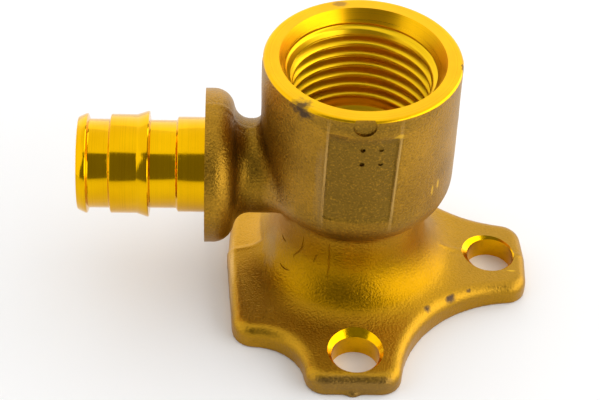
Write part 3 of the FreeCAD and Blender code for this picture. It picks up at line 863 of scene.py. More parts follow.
@dataclass
class ForgedBlank:
    """The forging before it is machined, with metal left on for the turning tools.

    Attributes name its sizes in millimetres; the socket stands on the origin along +z
    and the spigot points along -x. Pairs named calm are where the waviness fades so that
    the skin stays inside the fitting's box, and waves give size, cell and seed.
    """

    socket_radius: float = SOCKET_RADIUS
    socket_top: float = 42.0
    bowl_height: float = 20.5
    bowl_round: float = 5.2
    pedestal_radius: float = 10.2
    pedestal_round: float = 2.0
    flare: tuple[Point2, ...] = (
        (10.2, 14.0), (10.2, 12.5), (10.3, 10.4), (10.62, 8.9), (11.4, 7.2), (12.45, 5.8),
        (13.6, 4.85), (14.7, 4.33), (16.0, 3.98), (17.5, 3.79), (20.35, 3.56), (25.1, 3.24),
        (32.0, 2.9),
    )
    plate_round: float = 1.5
    sole_round: float = 0.3
    draft: float = 3.3
    ear_reach: float = 25.1
    side_ear_reach: float = 25.7
    ear_corner: float = 3.0
    tail_reach: float = 17.85
    tail_corner: float = 3.3
    scallop_centre: Point2 = (24.25, 24.9)
    scallop_radius: float = 18.0
    tail_scallop_centre: Point2 = (-14.1, 23.35)
    tail_scallop_radius: float = 7.1
    nub_radius: float = 1.25
    nub_x: float = -0.4
    nub_y: Point2 = (-25.6, -22.5)
    nub_blend: float = 0.3
    neck_radius: float = 6.6
    neck_start: float = 1.0
    neck_waist: float = -14.9
    neck_blend: float = 1.6
    flange_radius: float = 10.75
    flange_back: float = -19.95
    flange_back_round: float = 2.9
    flange_end: float = -23.0
    stock_radius: float = 8.4
    stock_end: float = -41.0
    standing_field: tuple[Point2, Point2] = ((0.0, -3.0), (50.0, 46.0))
    spigot_field: tuple[Point2, Point2] = ((-44.0, 0.0), (16.0, 42.0))
    plate_field: tuple[Point2, Point2] = ((-44.0, -28.0), (28.0, 28.0))
    cell: float = 0.36
    low: Point3 = (-42.3, -26.35, -1.19)
    high: Point3 = (27.0, 26.35, 43.4)
    settling: int = 3
    waves: tuple[tuple[float, float, int], ...] = ((0.05, 6.0, 11), (0.012, 1.9, 12))
    ridge_height: float = 0.12
    ridge_width: float = 0.45
    ridge_ends: Point2 = (12.4, 13.6)
    ridge_foot: Point2 = (0.4, 1.0)
    trim_depth: float = 0.1
    trim_wave: tuple[float, float, int] = (0.35, 2.2, 13)
    trim_side: Point2 = (0.0, 0.4)
    trim_edge: Point2 = (-13.1, -12.6)
    trim_top: Point2 = (7.0, 9.0)
    sole_calm: Point2 = (0.15, 0.7)
    front_calm: Point2 = (-26.0, -25.2)
    rear_calm: Point2 = (24.4, 25.0)
    side_calm: Point2 = (25.0, 25.6)

    def outline(self) -> list[Point2]:
        """Outline of the plate.

        Returns:
            Its corners, counter-clockwise from the side ear.
        """
        lean = math.radians(self.draft)
        side, ear, tail = (self.side_ear_reach, 0.0), (0.0, self.ear_reach), (-self.tail_reach, 0.0)
        big = (self.scallop_centre, self.scallop_radius)
        small = (self.tail_scallop_centre, self.tail_scallop_radius)
        half: list[Point2] = [side]
        for scallop, before, after in (
            (
                big,
                self.corner(side, math.pi / 2 + lean, *big, self.ear_corner, -1),
                self.corner(ear, math.pi, *big, self.ear_corner, 1),
            ),
            (
                small,
                self.corner(ear, math.pi, *small, self.ear_corner, -1),
                self.corner(tail, -math.pi / 2 - lean, *small, self.tail_corner, 1),
            ),
        ):
            half += self.swept(before[0], before[1], before[2], True)
            half += self.swept(scallop[0], before[2], after[2], False)
            half += self.swept(after[0], after[2], after[1], True)
        half.append(tail)
        return half + [(x, -y) for x, y in half[-2:0:-1]]

    @staticmethod
    def corner(
        point: Point2, angle: float, centre: Point2, radius: float, corner: float, sign: int
    ) -> tuple[Point2, Point2, Point2]:
        """Round between a straight edge of the plate and a scallop.

        Args:
            point: A point of the edge.
            angle: Direction of the edge, with the plate on its left.
            centre: Centre of the scallop.
            radius: Radius of the scallop.
            corner: Radius of the round.
            sign: Which of the two places along the edge is meant.

        Returns:
            Centre of the round and its ends on the edge and on the scallop.
        """
        along = np.array((math.cos(angle), math.sin(angle)))
        inward = np.array((-along[1], along[0]))
        offset = np.array(point) + inward * corner - np.array(centre)
        lead = offset @ along
        root = math.sqrt(lead**2 - offset @ offset + (radius + corner) ** 2)
        middle = np.array(centre) + offset + along * (sign * root - lead)
        touch = np.array(centre) + (middle - np.array(centre)) * radius / (radius + corner)
        return tuple(middle), tuple(middle - inward * corner), tuple(touch)

    @staticmethod
    def swept(centre: Point2, start: Point2, end: Point2, left: bool) -> list[Point2]:
        """Arc between two points about a centre.

        Args:
            centre: Centre of the arc.
            start: First point.
            end: Last point.
            left: True where it turns counter-clockwise.

        Returns:
            Points of the arc.
        """
        first = math.degrees(math.atan2(start[1] - centre[1], start[0] - centre[0]))
        last = math.degrees(math.atan2(end[1] - centre[1], end[0] - centre[0]))
        turn = (last - first) % 360 if left else -((first - last) % 360)
        return arc(centre, math.dist(start, centre), first, first + turn, steps=20)

    def standing_profile(self) -> list[Point2]:
        """Half section of socket, bowl, pedestal, flare and plate about the socket axis.

        Returns:
            Radius and height of its corners.
        """
        far, deep, tall = 60.0, -20.0, 80.0
        ring = [(-far, deep), (far, deep), (far, self.flare[-1][1])]
        ring += through(self.flare, steps=8)[::-1]
        inner = self.socket_radius - self.bowl_round
        root = self.pedestal_radius + self.pedestal_round
        both = self.bowl_round + self.pedestal_round
        slant = math.degrees(math.asin(min((root - inner) / both, 1.0)))
        drop = both * math.cos(math.radians(slant))
        foot = (root, self.bowl_height - drop)
        ring += arc(foot, self.pedestal_round, 180, 90 + slant, steps=10)
        ring += arc((inner, self.bowl_height), self.bowl_round, -90 + slant, 0, steps=24)
        ring += [(self.socket_radius, tall), (-far, tall)]
        return ring

    def spigot_profile(self) -> list[Point2]:
        """Half section of neck, flange and spigot stock about the spigot axis.

        Returns:
            Place along x and radius of its corners.
        """
        beyond = -30.0
        ring = [(self.neck_start, beyond), (self.neck_start, self.neck_radius)]
        round_back = self.flange_back_round
        hub = (self.flange_back, self.flange_radius - round_back)
        away, rise = self.neck_waist - hub[0], self.neck_radius - hub[1]
        hollow = (away**2 + rise**2 - round_back**2) / (2 * (round_back - rise))
        waist = (self.neck_waist, self.neck_radius + hollow)
        lean = math.degrees(math.atan2(waist[1] - hub[1], waist[0] - hub[0]))
        ring += arc(waist, hollow, 270, 180 + lean, steps=16)
        ring += arc(hub, round_back, lean, 90, steps=20)
        ring += [
            (self.flange_end, self.flange_radius),
            (self.flange_end, self.stock_radius),
            (self.stock_end, self.stock_radius),
            (self.stock_end, beyond),
        ]
        return ring

    def distances(self) -> Distance:
        """Works the profiles out once.

        Returns:
            A function that gives the signed distance to the forging at rows of x, y, z.
        """
        standing = DistanceTable(self.standing_profile(), *self.standing_field)
        spigot = DistanceTable(self.spigot_profile(), *self.spigot_field)
        plate = DistanceTable(self.outline(), *self.plate_field)

        def distance(points: np.ndarray) -> np.ndarray:
            """Signed distance to the forging.

            Args:
                points: Rows of x, y, z.

            Returns:
                One distance a row, below zero inside.
            """
            x, y, z = points[..., 0], points[..., 1], points[..., 2]
            body = round_and(standing.at(np.hypot(x, y), z), plate.at(x, y), self.plate_round)
            behind = y - np.clip(y, self.nub_y[0] + self.nub_radius, self.nub_y[1])
            nub = np.sqrt((x - self.nub_x) ** 2 + behind**2 + z**2) - self.nub_radius
            body = round_or(body, nub, self.nub_blend)
            neck = spigot.at(x, np.hypot(y, z - SPIGOT_HEIGHT))
            whole = np.maximum(round_or(body, neck, self.neck_blend), z - self.socket_top)
            return round_and(whole, -z, self.sole_round)

        return distance

    def shell(self) -> Shell:
        """Meshes the forging.

        Returns:
            Its skin, slightly uneven and with the raised line of the parting plane.
        """
        distance = self.distances()
        counts = [int(math.ceil((h - a) / self.cell)) + 1 for a, h in zip(self.low, self.high)]
        axes = [a + self.cell * np.arange(n) for a, n in zip(self.low, counts)]
        values = np.empty(counts, dtype=np.float32)
        yz = np.stack(np.meshgrid(axes[1], axes[2], indexing="ij"), axis=-1)
        for i, x in enumerate(axes[0]):
            values[i] = distance(np.concatenate([np.full((*yz.shape[:2], 1), x), yz], axis=-1))
        shell = net_surface(values, np.array(self.low), self.cell)
        for _ in range(self.settling):
            shell.points -= distance(shell.points)[:, None] * self.slope(distance, shell.points)
        self.roughen(shell, self.slope(distance, shell.points))
        return shell

    @staticmethod
    def slope(distance: Distance, points: np.ndarray) -> np.ndarray:
        """Unit direction in which the distance grows.

        Args:
            distance: The distance function.
            points: Rows of x, y, z.

        Returns:
            One unit row each.
        """
        step = 0.05 * np.eye(3)
        rise = np.stack([distance(points + s) - distance(points - s) for s in step], axis=1)
        return rise / np.maximum(np.linalg.norm(rise, axis=1, keepdims=True), TINY)

    def roughen(self, shell: Shell, outward: np.ndarray) -> None:
        """Gives the skin the waviness of a forging, its parting line and its trimmed tail.

        Args:
            shell: Skin to move.
            outward: Outward direction at each of its points.
        """
        points = shell.points
        x, y, z = points.T
        rise = sum(size * Unevenness(cell, seed).at(points) for size, cell, seed in self.waves)
        ends = smooth_step(self.ridge_ends, np.abs(x)) * smooth_step(self.ridge_foot, z)
        ridge = np.clip(1 - np.abs(y) / self.ridge_width, 0.0, 1.0)
        rise = rise + self.ridge_height * ends * ridge
        size, cell, seed = self.trim_wave
        wander = x + size * Unevenness(cell, seed).at(points)
        trimmed = smooth_step(self.trim_side, y) * (1 - smooth_step(self.trim_edge, wander))
        trimmed *= 1 - smooth_step(self.trim_top, z)
        rise = rise * (1 - trimmed) - self.trim_depth * trimmed
        calm = smooth_step(self.front_calm, y) * (1 - smooth_step(self.rear_calm, y))
        calm *= 1 - smooth_step(self.side_calm, x)
        shell.points = points + (rise * smooth_step(self.sole_calm, z) * calm)[:, None] * outward


@dataclass
class SocketTool:
    """Turning tool and tap of the socket: rim face, edge round, lead-in, thread, chamber.

    Attributes name its sizes in millimetres from the wall face; support is a ring that
    keeps the rim flat beside its round, and swing and drop lead the tool off the wall.
    """

    rim_height: float = 39.1
    outer_radius: float = SOCKET_RADIUS
    rim_round: float = 0.45
    rim_turn: Point2 = (90.0, 36.0)
    support: float = 0.1
    swing: float = 2.0
    drop: float = 3.0
    mouth_radius: float = 11.3
    mouth_taper: float = 0.53
    core_radius: float = 9.315
    root_radius: float = 10.478
    pitch: float = 1.814
    thread_phase: float = 0.399
    thread_end: float = 23.4
    run_out_turns: float = 1.5
    chamber_radius: float = 8.0
    chamber_floor: float = 16.5
    drill_point: float = 11.7
    steps: int = 168
    rows_per_turn: int = 18
    clearance: float = 46.0

    def shell(self) -> Shell:
        """Builds the cutter.

        Returns:
            The closed solid that is taken out of the forging.
        """
        rows = int((self.rim_height - self.thread_end) / self.pitch * self.rows_per_turn)
        height = np.linspace(self.thread_end, self.rim_height, rows + 1)[:, None]
        turn = np.linspace(0.0, 1.0, self.steps, endpoint=False)[None, :]
        phase = (height / self.pitch - turn + self.thread_phase) % 1.0
        flank = 0.5 - 0.5 * np.cos(2 * math.pi * phase)
        full_depth = self.thread_end + self.run_out_turns * self.pitch
        run_out = smooth_step((self.thread_end, full_depth), height)
        thread = self.core_radius + (self.root_radius - self.core_radius) * flank * run_out
        mouth = self.mouth_radius - (self.rim_height - height) * self.mouth_taper
        below = [
            (0.0, self.drill_point),
            (self.chamber_radius, self.chamber_floor),
            (self.chamber_radius, self.thread_end - (self.core_radius - self.chamber_radius)),
        ]
        edge = self.outer_radius - self.rim_round
        above = [(edge - self.support, self.rim_height)]
        centre = (edge, self.rim_height - self.rim_round)
        above += arc(centre, self.rim_round, *self.rim_turn, steps=4)
        above += [
            (edge + self.swing, self.rim_height - self.drop),
            (edge + self.swing, self.clearance),
            (0.0, self.clearance),
        ]
        even = np.ones((1, self.steps))
        radii = [r * even for r, _ in below] + [np.maximum(thread, mouth)]
        heights = [z * even for _, z in below] + [height * even]
        radii += [r * even for r, _ in above]
        heights += [z * even for _, z in above]
        return wound(np.vstack(radii), np.vstack(heights), Axis.SOCKET, (0.0, 0.0, 0.0))


@dataclass
class SpigotTool:
    """Turning tool of the flange face and the ribbed spigot.

    Attributes:
        stations: Distance from the socket axis and radius along the finished spigot, from
            the flange face to the end.
        outside: Radius of the tool, past the flange.
        clearance: How far from the socket axis the tool reaches.
        steps: Flats around the axis.
    """

    stations: tuple[Point2, ...] = (
        (21.1, 6.65), (24.78, 6.65), (24.86, 6.6), (25.06, 6.2), (25.14, 6.15), (28.62, 6.15),
        (28.7, 6.23), (28.85, 7.32), (28.97, 7.4), (29.12, 7.38), (30.4, 6.95), (30.5, 6.9),
        (34.06, 6.9), (34.14, 6.85), (34.36, 6.25), (34.44, 6.2), (37.08, 6.2), (37.16, 6.26),
        (37.38, 6.88), (37.48, 6.95), (37.65, 6.93), (38.6, 6.5), (38.7, 6.42),
    )
    outside: float = 16.0
    clearance: float = 44.0
    steps: int = 160

    def shell(self) -> Shell:
        """Builds the cutter.

        Returns:
            The closed solid around the finished spigot.
        """
        start, end = self.stations[0][0], self.stations[-1][0]
        profile = [(0.0, -self.clearance), (self.outside, -self.clearance), (self.outside, -start)]
        profile += [(r, -x) for x, r in self.stations]
        profile.append((0.0, -end))
        return turned(profile, self.steps, Axis.SPIGOT, (0.0, 0.0, SPIGOT_HEIGHT))


@dataclass
class WaterwayTool:
    """Drill of the waterway with the small chamfer at the spigot's end.

    Attributes:
        radius: Radius of the drill.
        chamfer: Width of the chamfer.
        end: Where the spigot ends.
        overrun: How far the drill starts outside it.
        depth: Where the drill stops, inside the socket.
        steps: Flats around the axis.
    """

    radius: float = 4.7
    chamfer: float = 0.5
    end: float = -38.7
    overrun: float = 2.0
    depth: float = -5.0
    steps: int = 96

    def shell(self) -> Shell:
        """Builds the cutter.

        Returns:
            The closed solid that is taken out of the forging.
        """
        wide, outside = self.radius + self.chamfer, self.end - self.overrun
        profile = [
            (0.0, outside),
            (wide, outside),
            (wide, self.end),
            (self.radius, self.end + self.chamfer),
            (self.radius, self.depth),
            (0.0, self.depth),
        ]
        return turned(profile, self.steps, Axis.SPIGOT, (0.0, 0.0, SPIGOT_HEIGHT))


@dataclass
class ScrewHoleTool:
    """Drill and countersink of one screw hole.

    Attributes:
        place: Axis of the hole.
        countersink: Height at which the countersink starts.
        radius: Radius of the drill.
        reach: Depth and width of the countersink.
        below: Where the drill ends under the plate.
        above: Where the countersink ends over it.
        steps: Flats around the axis.
    """

    place: Point2
    countersink: float
    radius: float = 3.35
    reach: float = 2.6
    below: float = -2.0
    above: float = 8.0
    steps: int = 96

    def shell(self) -> Shell:
        """Builds the cutter.

        Returns:
            The closed solid that is taken out of the forging.
        """
        wide = self.radius + self.reach
        profile = [
            (0.0, self.below),
            (self.radius, self.below),
            (self.radius, self.countersink),
            (wide, self.countersink + self.reach),
            (wide, self.above),
            (0.0, self.above),
        ]
        return turned(profile, self.steps, Axis.SOCKET, (*self.place, 0.0))


@dataclass
class PanelTool:
    """The die's raised panel, which leaves a shallow sunk field on the front of the socket.

    Attributes:
        left: Left edge at the top, as arc length from the front.
        right: Right edge at the top, as arc length from the front.
        bottom: Height of its lower edge.
        top: Height of its upper edge.
        lean_left: How far the left edge goes to the left at the bottom.
        lean_right: How far the right edge does.
        corner: Round of its corners.
        outer_radius: Radius of the socket.
        depth: Depth of the sunk field.
        shallow: Share of that depth at its lower edge.
        shallow_height: Height over which it gains full depth.
        draft: How much wider each side is at the socket's face.
        top_run: How much higher its upper edge is there.
        wide: How many times the draft it is larger outside the socket.
        count: Points around it.
        layers: Steps from its middle to its edge.
    """

    left: float = -5.0
    right: float = 4.35
    bottom: float = 21.6
    top: float = 35.2
    lean_left: float = 0.25
    lean_right: float = 0.6
    corner: float = 0.5
    outer_radius: float = SOCKET_RADIUS
    depth: float = 0.38
    shallow: float = 0.45
    shallow_height: float = 4.0
    draft: float = 0.28
    top_run: float = 1.1
    wide: float = 2.5
    count: int = 160
    layers: int = 14

    def ring(self, grow: float) -> np.ndarray:
        """Outline of the panel, unrolled.

        Args:
            grow: How many times its draft it is larger all round.

        Returns:
            Rows of arc length and height.
        """
        out = grow * self.draft
        r = self.corner + out
        left, right = self.left - out + r, self.right + out - r
        low, high = self.bottom - out + r, self.top + grow * self.top_run - r
        points: list[Point2] = []
        for k, centre in enumerate(((right, low), (right, high), (left, high), (left, low))):
            points += arc(centre, r, 90 * k - 90, 90 * k, steps=10)
        ring = np.array(points)
        share = (ring[:, 0] - self.left) / (self.right - self.left)
        down = (self.top - ring[:, 1]) / (self.top - self.bottom)
        ring[:, 0] -= down * (self.lean_left + share * (self.lean_right - self.lean_left))
        closed = np.vstack([ring, ring[:1]])
        total = run_lengths(closed)[-1]
        return at_lengths(closed, np.linspace(0.0, total, self.count, endpoint=False))

    def sunk(self, flat: np.ndarray) -> np.ndarray:
        """Radius of the sunk field, which runs out towards its lower edge."""
        rise = smooth_step((self.bottom, self.bottom + self.shallow_height), flat[:, 1])
        return self.outer_radius - self.depth * (self.shallow + (1 - self.shallow) * rise)

    def on_socket(self, flat: np.ndarray, radius: np.ndarray | float) -> np.ndarray:
        """Wraps unrolled points onto a radius about the socket axis."""
        angle = flat[:, 0] / self.outer_radius
        return np.stack([radius * np.sin(angle), -radius * np.cos(angle), flat[:, 1]], axis=1)

    def shell(self) -> Shell:
        """Builds the cutter.

        Returns:
            A curved slab with drafted sides.
        """
        middle = np.array([[(self.left + self.right) / 2, (self.bottom + self.top) / 2]])
        base, wide = self.ring(0.0), self.ring(self.wide)
        outside = self.outer_radius + 2 * self.depth
        shares = np.linspace(0.0, 1.0, self.layers + 1)[1:]
        fields = [middle + s * (base - middle) for s in shares]
        rings = [self.on_socket(field, self.sunk(field)) for field in fields]
        rings.append(self.on_socket(self.ring(1.0), self.outer_radius))
        rings += [self.on_socket(middle + s * (wide - middle), outside) for s in shares[::-1]]
        first, last = self.on_socket(middle, self.sunk(middle)), self.on_socket(middle, outside)
        points = np.vstack([first, *rings, last])
        faces: list[Face] = []
        for k in range(self.count):
            a, b = 1 + k, 1 + (k + 1) % self.count
            faces.append((0, a, b))
            for _ in rings[1:]:
                faces.append((a, a + self.count, b + self.count, b))
                a, b = a + self.count, b + self.count
            faces.append((len(points) - 1, b, a))
        return Shell(points, faces)


@dataclass
class PinTool:
    """A round pin pressed or cut into the front of the socket.

    Attributes:
        x: Its place across the front.
        z: Its height.
        radius: Its radius at the floor.
        floor: How far from the socket axis its floor lies.
        taper: How much wider it is at its mouth.
        taper_run: Depth of that taper.
        reach: How far it stands out of its floor.
        steps: Flats around it.
    """

    x: float
    z: float
    radius: float
    floor: float
    taper: float = 0.0
    taper_run: float = 0.6
    reach: float = 3.0
    steps: int = 48

    def shell(self) -> Shell:
        """Builds the cutter.

        Returns:
            The closed solid that is taken out of the forging.
        """
        wide, outside = self.radius + self.taper, -self.floor - self.reach
        profile = [
            (0.0, outside),
            (wide, outside),
            (wide, -self.floor - self.taper_run),
            (self.radius, -self.floor),
            (0.0, -self.floor),
        ]
        return turned(profile, self.steps, Axis.FRONT, (self.x, 0.0, self.z))


@dataclass
class ForgingLaps:
    """Fine folds where the metal closed over itself beside the pedestal.

    Attributes:
        blank: Forging that they are in.
        lines: Course of each fold, near the skin.
        width: Half width of a fold at its middle.
        depth: Its depth, as a share of its half width.
        tip: Angle that its rounded taper starts from at each end.
        sway: Size, cell and seed of its wandering.
        spacing: Distance between its points.
        fewest: Least number of points in a fold.
        settling: Steps that bring its course onto the skin.
        sides: Flats around a fold.
    """

    blank: ForgedBlank
    lines: tuple[tuple[Point3, ...], ...] = (
        ((-10.1, -2.9, 9.5), (-9.9, -3.6, 9.3), (-9.5, -4.4, 9.4)),
        (
            (-7.2, -7.2, 13.2), (-7.3, -7.1, 10.9), (-7.9, -6.8, 9.6), (-8.6, -6.5, 8.7),
            (-8.5, -6.9, 8.4),
        ),
        ((-10.5, -5.8, 6.7), (-10.2, -6.3, 6.6), (-9.7, -7.1, 6.7), (-9.2, -7.6, 6.9)),
        ((-5.4, -8.6, 11.1), (-5.5, -8.65, 10.4), (-5.7, -8.7, 9.5)),
        (
            (-3.66, -9.5, 14.0), (-3.67, -9.5, 12.3), (-3.65, -9.6, 10.2), (-3.8, -10.2, 8.4),
            (-3.85, -10.95, 7.3),
        ),
    )
    width: float = 0.13
    depth: float = 1.1
    tip: float = 0.06
    sway: tuple[float, float, int] = (0.1, 0.9, 21)
    spacing: float = 0.25
    fewest: int = 8
    settling: int = 4
    sides: int = 8

    def shell(self) -> Shell:
        """Builds the cutter of all folds.

        Returns:
            Thin tapering tubes that lie in the skin.
        """
        distance = self.blank.distances()
        points: list[np.ndarray] = []
        faces: list[Face] = []
        for line in self.lines:
            rings = self.tube(np.array(line), distance)
            first, count = sum(len(p) for p in points), len(rings[0])
            points += rings
            starts = [first + k * count for k in range(self.sides)]
            for a, b in zip(starts, starts[1:] + starts[:1]):
                faces += [(a + i, a + i + 1, b + i + 1, b + i) for i in range(count - 1)]
            faces.append(tuple(starts))
            faces.append(tuple(start + count - 1 for start in reversed(starts)))
        return Shell(np.vstack(points), faces)

    def tube(self, course: np.ndarray, distance: Distance) -> list[np.ndarray]:
        """Lays one fold onto the skin.

        Args:
            course: Points near the skin that it follows.
            distance: Signed distance to the forging.

        Returns:
            The lines along the sides of the fold.
        """
        total = run_lengths(course)[-1]
        count = max(self.fewest, int(total / self.spacing))
        course = at_lengths(course, np.linspace(0.0, total, count))
        for _ in range(self.settling):
            course -= distance(course)[:, None] * ForgedBlank.slope(distance, course)
        out = ForgedBlank.slope(distance, course)
        across = np.cross(np.gradient(course, axis=0), out)
        across /= np.linalg.norm(across, axis=1, keepdims=True)
        size, cell, seed = self.sway
        sway = size * Unevenness(cell, seed).at(course)[:, None] * across
        ends = np.linspace(self.tip, math.pi - self.tip, count)
        half = self.width * np.sqrt(np.clip(np.sin(ends), 0.0, 1.0))[:, None]
        return [
            course + sway + half * (math.cos(t) * across + self.depth * math.sin(t) * out)
            for t in np.linspace(0.0, 2 * math.pi, self.sides, endpoint=False)
        ]


@dataclass
class WallPlateElbow:
    """The whole fitting: one forging with its machined faces.

    Attributes:
        node: CAD node that it stands for.
        sharp_angle: Edges sharper than this, in degrees, stay crisp.
        thread_radii: Radii between which the thread lies.
        thread_span: Heights between which the thread lies.
        weld: Points closer than this become one.
        holes: Name, axis and countersink height of each screw hole.
        ejector: Mark of the ejector pin under the rim.
        dot_columns: Places of the punch dots across the front.
        dot_rows: Their heights.
    """

    node: str = "elbow_body"
    sharp_angle: float = 32.0
    thread_radii: Point2 = (9.25, 10.6)
    thread_span: Point2 = (23.5, 37.4)
    weld: float = 0.002
    holes: tuple[tuple[str, Point2, float], ...] = (
        ("front_hole", (0.0, -20.2), 3.02),
        ("rear_hole", (0.0, 20.2), 3.02),
        ("side_hole", (20.5, 0.0), 3.15),
    )
    ejector: tuple[float, float, float, float] = (-0.3, 38.1, 1.55, 13.12)
    dot_columns: Point2 = (-0.38, 2.07)
    dot_rows: Point2 = (31.5, 33.92)

    def tools(self) -> list[tuple[str, Shell, Skin]]:
        """Lists what is cut into the forging.

        Returns:
            Name, solid and finish of each cutter.
        """
        cuts = [
            ("forging_laps", ForgingLaps(ForgedBlank()).shell(), Skin.FORGED),
            ("panel", PanelTool().shell(), Skin.FORGED),
            ("socket", SocketTool().shell(), Skin.TAPPED),
            ("spigot", SpigotTool().shell(), Skin.SPIGOT),
            ("waterway", WaterwayTool().shell(), Skin.SPIGOT),
        ]
        for name, place, countersink in self.holes:
            cuts.append((name, ScrewHoleTool(place, countersink).shell(), Skin.TURNED))
        cuts.append(("ejector_mark", PinTool(*self.ejector).shell(), Skin.FORGED))
        for x in self.dot_columns:
            for z in self.dot_rows:
                dot = PinTool(x, z, radius=0.3, floor=12.7, taper=0.08, steps=24)
                cuts.append(("dot", dot.shell(), Skin.FORGED))
        return cuts

    def build(self) -> bpy.types.Object:
        """Forges the blank, machines it and dresses it.

        Returns:
            The finished piece.
        """
        finishes = {skin: finish.material() for skin, finish in FINISHES.items()}
        piece = ForgedBlank().shell().to_object("elbow", finishes[Skin.FORGED])
        LOG.info("forged blank: %d faces", len(piece.data.polygons))
        for name, shell, skin in self.tools():
            self.cut(piece, shell.to_object(f"{name}_tool", finishes[skin]))
            LOG.info("%s cut: %d faces", name, len(piece.data.polygons))
        self.weld_slivers(piece.data)
        piece.data.shade_smooth()
        piece.data.set_sharp_from_angle(angle=math.radians(self.sharp_angle))
        self.soften_thread(piece.data)
        return piece

    def weld_slivers(self, mesh: bpy.types.Mesh) -> None:
        """Welds points that the cutters left closer together than any real edge.

        Args:
            mesh: Mesh of the fitting.
        """
        work = bmesh.new()
        work.from_mesh(mesh)
        bmesh.ops.remove_doubles(work, verts=work.verts[:], dist=self.weld * MM)
        bmesh.ops.dissolve_degenerate(work, edges=work.edges[:], dist=self.weld * MM)
        work.to_mesh(mesh)
        work.free()

    def soften_thread(self, mesh: bpy.types.Mesh) -> None:
        """Lets the thread's round crests and roots shade smoothly.

        Args:
            mesh: Mesh of the fitting.
        """
        points = np.empty(3 * len(mesh.vertices), dtype=np.float32)
        mesh.vertices.foreach_get("co", points)
        x, y, z = points.reshape(-1, 3).T / MM
        radius = np.hypot(x, y)
        threaded = (radius > self.thread_radii[0]) & (radius < self.thread_radii[1])
        threaded &= (z > self.thread_span[0]) & (z < self.thread_span[1])
        ends = np.empty(2 * len(mesh.edges), dtype=np.int32)
        mesh.edges.foreach_get("vertices", ends)
        inside = threaded[ends.reshape(-1, 2)].all(axis=1)
        sharp = mesh.attributes["sharp_edge"]
        flags = np.empty(len(mesh.edges), dtype=bool)
        sharp.data.foreach_get("value", flags)
        sharp.data.foreach_set("value", flags & ~inside)

    @staticmethod
    def cut(piece: bpy.types.Object, tool: bpy.types.Object) -> None:
        """Takes a tool's solid out of the piece.

        Args:
            piece: Object that is cut; its mesh is replaced.
            tool: Cutter, which is removed afterwards.
        """
        step = piece.modifiers.new("cut", "BOOLEAN")
        step.operation = "DIFFERENCE"
        step.solver = "MANIFOLD"
        step.material_mode = "TRANSFER"
        step.object = tool
        graph = bpy.context.evaluated_depsgraph_get()
        result = bpy.data.meshes.new_from_object(piece.evaluated_get(graph), depsgraph=graph)
        spent = (piece.data, tool.data)
        piece.modifiers.remove(step)
        piece.data = result
        bpy.data.objects.remove(tool)
        for mesh in spent:
            bpy.data.meshes.remove(mesh)


# Studio


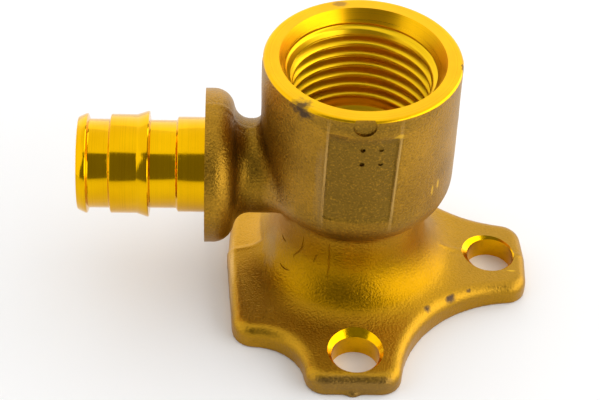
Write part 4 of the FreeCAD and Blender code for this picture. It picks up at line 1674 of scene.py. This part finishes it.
@dataclass
class Studio:
    """Pale floor, soft light and the camera of the photograph.

    Attributes:
        camera_place: Where the camera stands, in millimetres.
        camera_aim: Point it looks at, in millimetres.
        roll: Its roll in degrees.
        focal: Focal length in pixels.
        centre: Pixel that the aim falls on.
        picture: Width and height of the picture in pixels.
        sensor: Width of the sensor in millimetres.
        clip: Nearest and farthest distance that the camera sees, in metres.
        floor_size: Side of the floor in metres.
        paper: Colour of the floor.
        paper_roughness: Its roughness.
        room: Colour of the room around the tent.
        tent: Width, depth and height of the light tent in metres.
        tent_back: Where its back wall hangs.
        top_level: Brightness of its top, where 1 shows as white.
        back_level: Brightness of its back wall.
        left_level: Brightness of its left wall.
        right_level: Brightness of its right wall.
        left_reach: Where the left wall starts and ends, from front to back.
        right_reach: Where the right wall does.
    """

    camera_place: Point3 = (-18.09, -205.46, 197.50)
    camera_aim: Point3 = (-6.65, 0.0, 15.57)
    roll: float = 2.85
    focal: float = 1941.21
    centre: Point2 = (307.4, 188.96)
    picture: Point2 = (600.0, 400.0)
    sensor: float = 36.0
    clip: Point2 = (0.01, 20.0)
    floor_size: float = 6.0
    paper: Colour = (0.90, 0.90, 0.90)
    paper_roughness: float = 0.9
    room: Colour = (0.19, 0.19, 0.19)
    tent: Point3 = (1.2, 1.1, 0.7)
    tent_back: float = 0.8
    top_level: float = 0.95
    back_level: float = 1.3
    left_level: float = 1.1
    right_level: float = 2.5
    left_reach: Point2 = (-0.5, 0.8)
    right_reach: Point2 = (-1.15, 0.6)

    def camera(self) -> None:
        """Sets the camera up."""
        lens = bpy.data.cameras.new("camera")
        lens.sensor_fit = "HORIZONTAL"
        lens.sensor_width = self.sensor
        lens.lens = self.focal * self.sensor / self.picture[0]
        lens.shift_x = (self.picture[0] / 2 - self.centre[0]) / self.picture[0]
        lens.shift_y = (self.centre[1] - self.picture[1] / 2) / self.picture[0]
        lens.clip_start, lens.clip_end = self.clip
        made = bpy.data.objects.new("camera", lens)
        place, aim = Vector(self.camera_place) * MM, Vector(self.camera_aim) * MM
        turn = (aim - place).to_track_quat("-Z", "Y").to_matrix()
        turn = turn @ Matrix.Rotation(math.radians(self.roll), 3, "Z")
        made.matrix_world = Matrix.Translation(place) @ turn.to_4x4()
        bpy.context.scene.collection.objects.link(made)
        bpy.context.scene.camera = made

    def floor(self) -> None:
        """Lays the pale floor."""
        half = self.floor_size / 2
        mesh = bpy.data.meshes.new("studio_floor")
        corners = [(x * half, y * half, 0.0) for x, y in ((-1, -1), (1, -1), (1, 1), (-1, 1))]
        mesh.from_pydata(corners, [], [(0, 1, 2, 3)])
        paper = bpy.data.materials.new("white_paper")
        paper.use_nodes = True
        shader = paper.node_tree.nodes["Principled BSDF"]
        shader.inputs["Base Color"].default_value = (*self.paper, 1.0)
        shader.inputs["Roughness"].default_value = self.paper_roughness
        mesh.materials.append(paper)
        made = bpy.data.objects.new("studio_floor", mesh)
        bpy.context.scene.collection.objects.link(made)

    @staticmethod
    def wall(name: str, place: Point3, facing: Point3, size: Point2, level: float) -> None:
        """Hangs one wall of the light tent.

        Args:
            name: Its name.
            place: Its middle in metres.
            facing: Direction that it shines in.
            size: Width and height in metres.
            level: Brightness, where 1 shows as white.
        """
        light = bpy.data.lights.new(name, "AREA")
        light.shape = "RECTANGLE"
        light.size, light.size_y = size
        light.energy = level * math.pi * size[0] * size[1]
        made = bpy.data.objects.new(name, light)
        made.location = place
        made.rotation_euler = Vector(facing).to_track_quat("-Z", "Y").to_euler()
        bpy.context.scene.collection.objects.link(made)

    def light(self) -> None:
        """Hangs the tent, which is open towards the camera, in a grey room."""
        world = bpy.data.worlds.new("room")
        world.use_nodes = True
        world.node_tree.nodes["Background"].inputs["Color"].default_value = (*self.room, 1.0)
        bpy.context.scene.world = world
        wide, deep, high = self.tent
        top = (0.0, self.tent_back - deep / 2, high)
        back = (0.0, self.tent_back, high / 2)
        self.wall("tent_top", top, (0.0, 0.0, -1.0), (wide, deep), self.top_level)
        self.wall("tent_back", back, (0.0, -1.0, 0.0), (wide, high), self.back_level)
        for name, side, reach, level in (
            ("tent_left", -1.0, self.left_reach, self.left_level),
            ("tent_right", 1.0, self.right_reach, self.right_level),
        ):
            place = (side * wide / 2, sum(reach) / 2, high / 2)
            self.wall(name, place, (-side, 0.0, 0.0), (reach[1] - reach[0], high), level)

    def build(self) -> None:
        """Builds the studio."""
        self.camera()
        self.floor()
        self.light()
        bpy.context.scene.view_settings.view_transform = "Standard"


def main() -> None:
    """Builds the elbow and its studio in order."""
    logging.basicConfig(level=logging.INFO, format="%(name)s: %(message)s")
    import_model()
    elbow = WallPlateElbow()
    piece = elbow.build()
    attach(piece, "root")
    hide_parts(elbow.node)
    LOG.info("%s: %d faces", piece.name, len(piece.data.polygons))
    Studio().build()


if __name__ == "__main__":
    main()
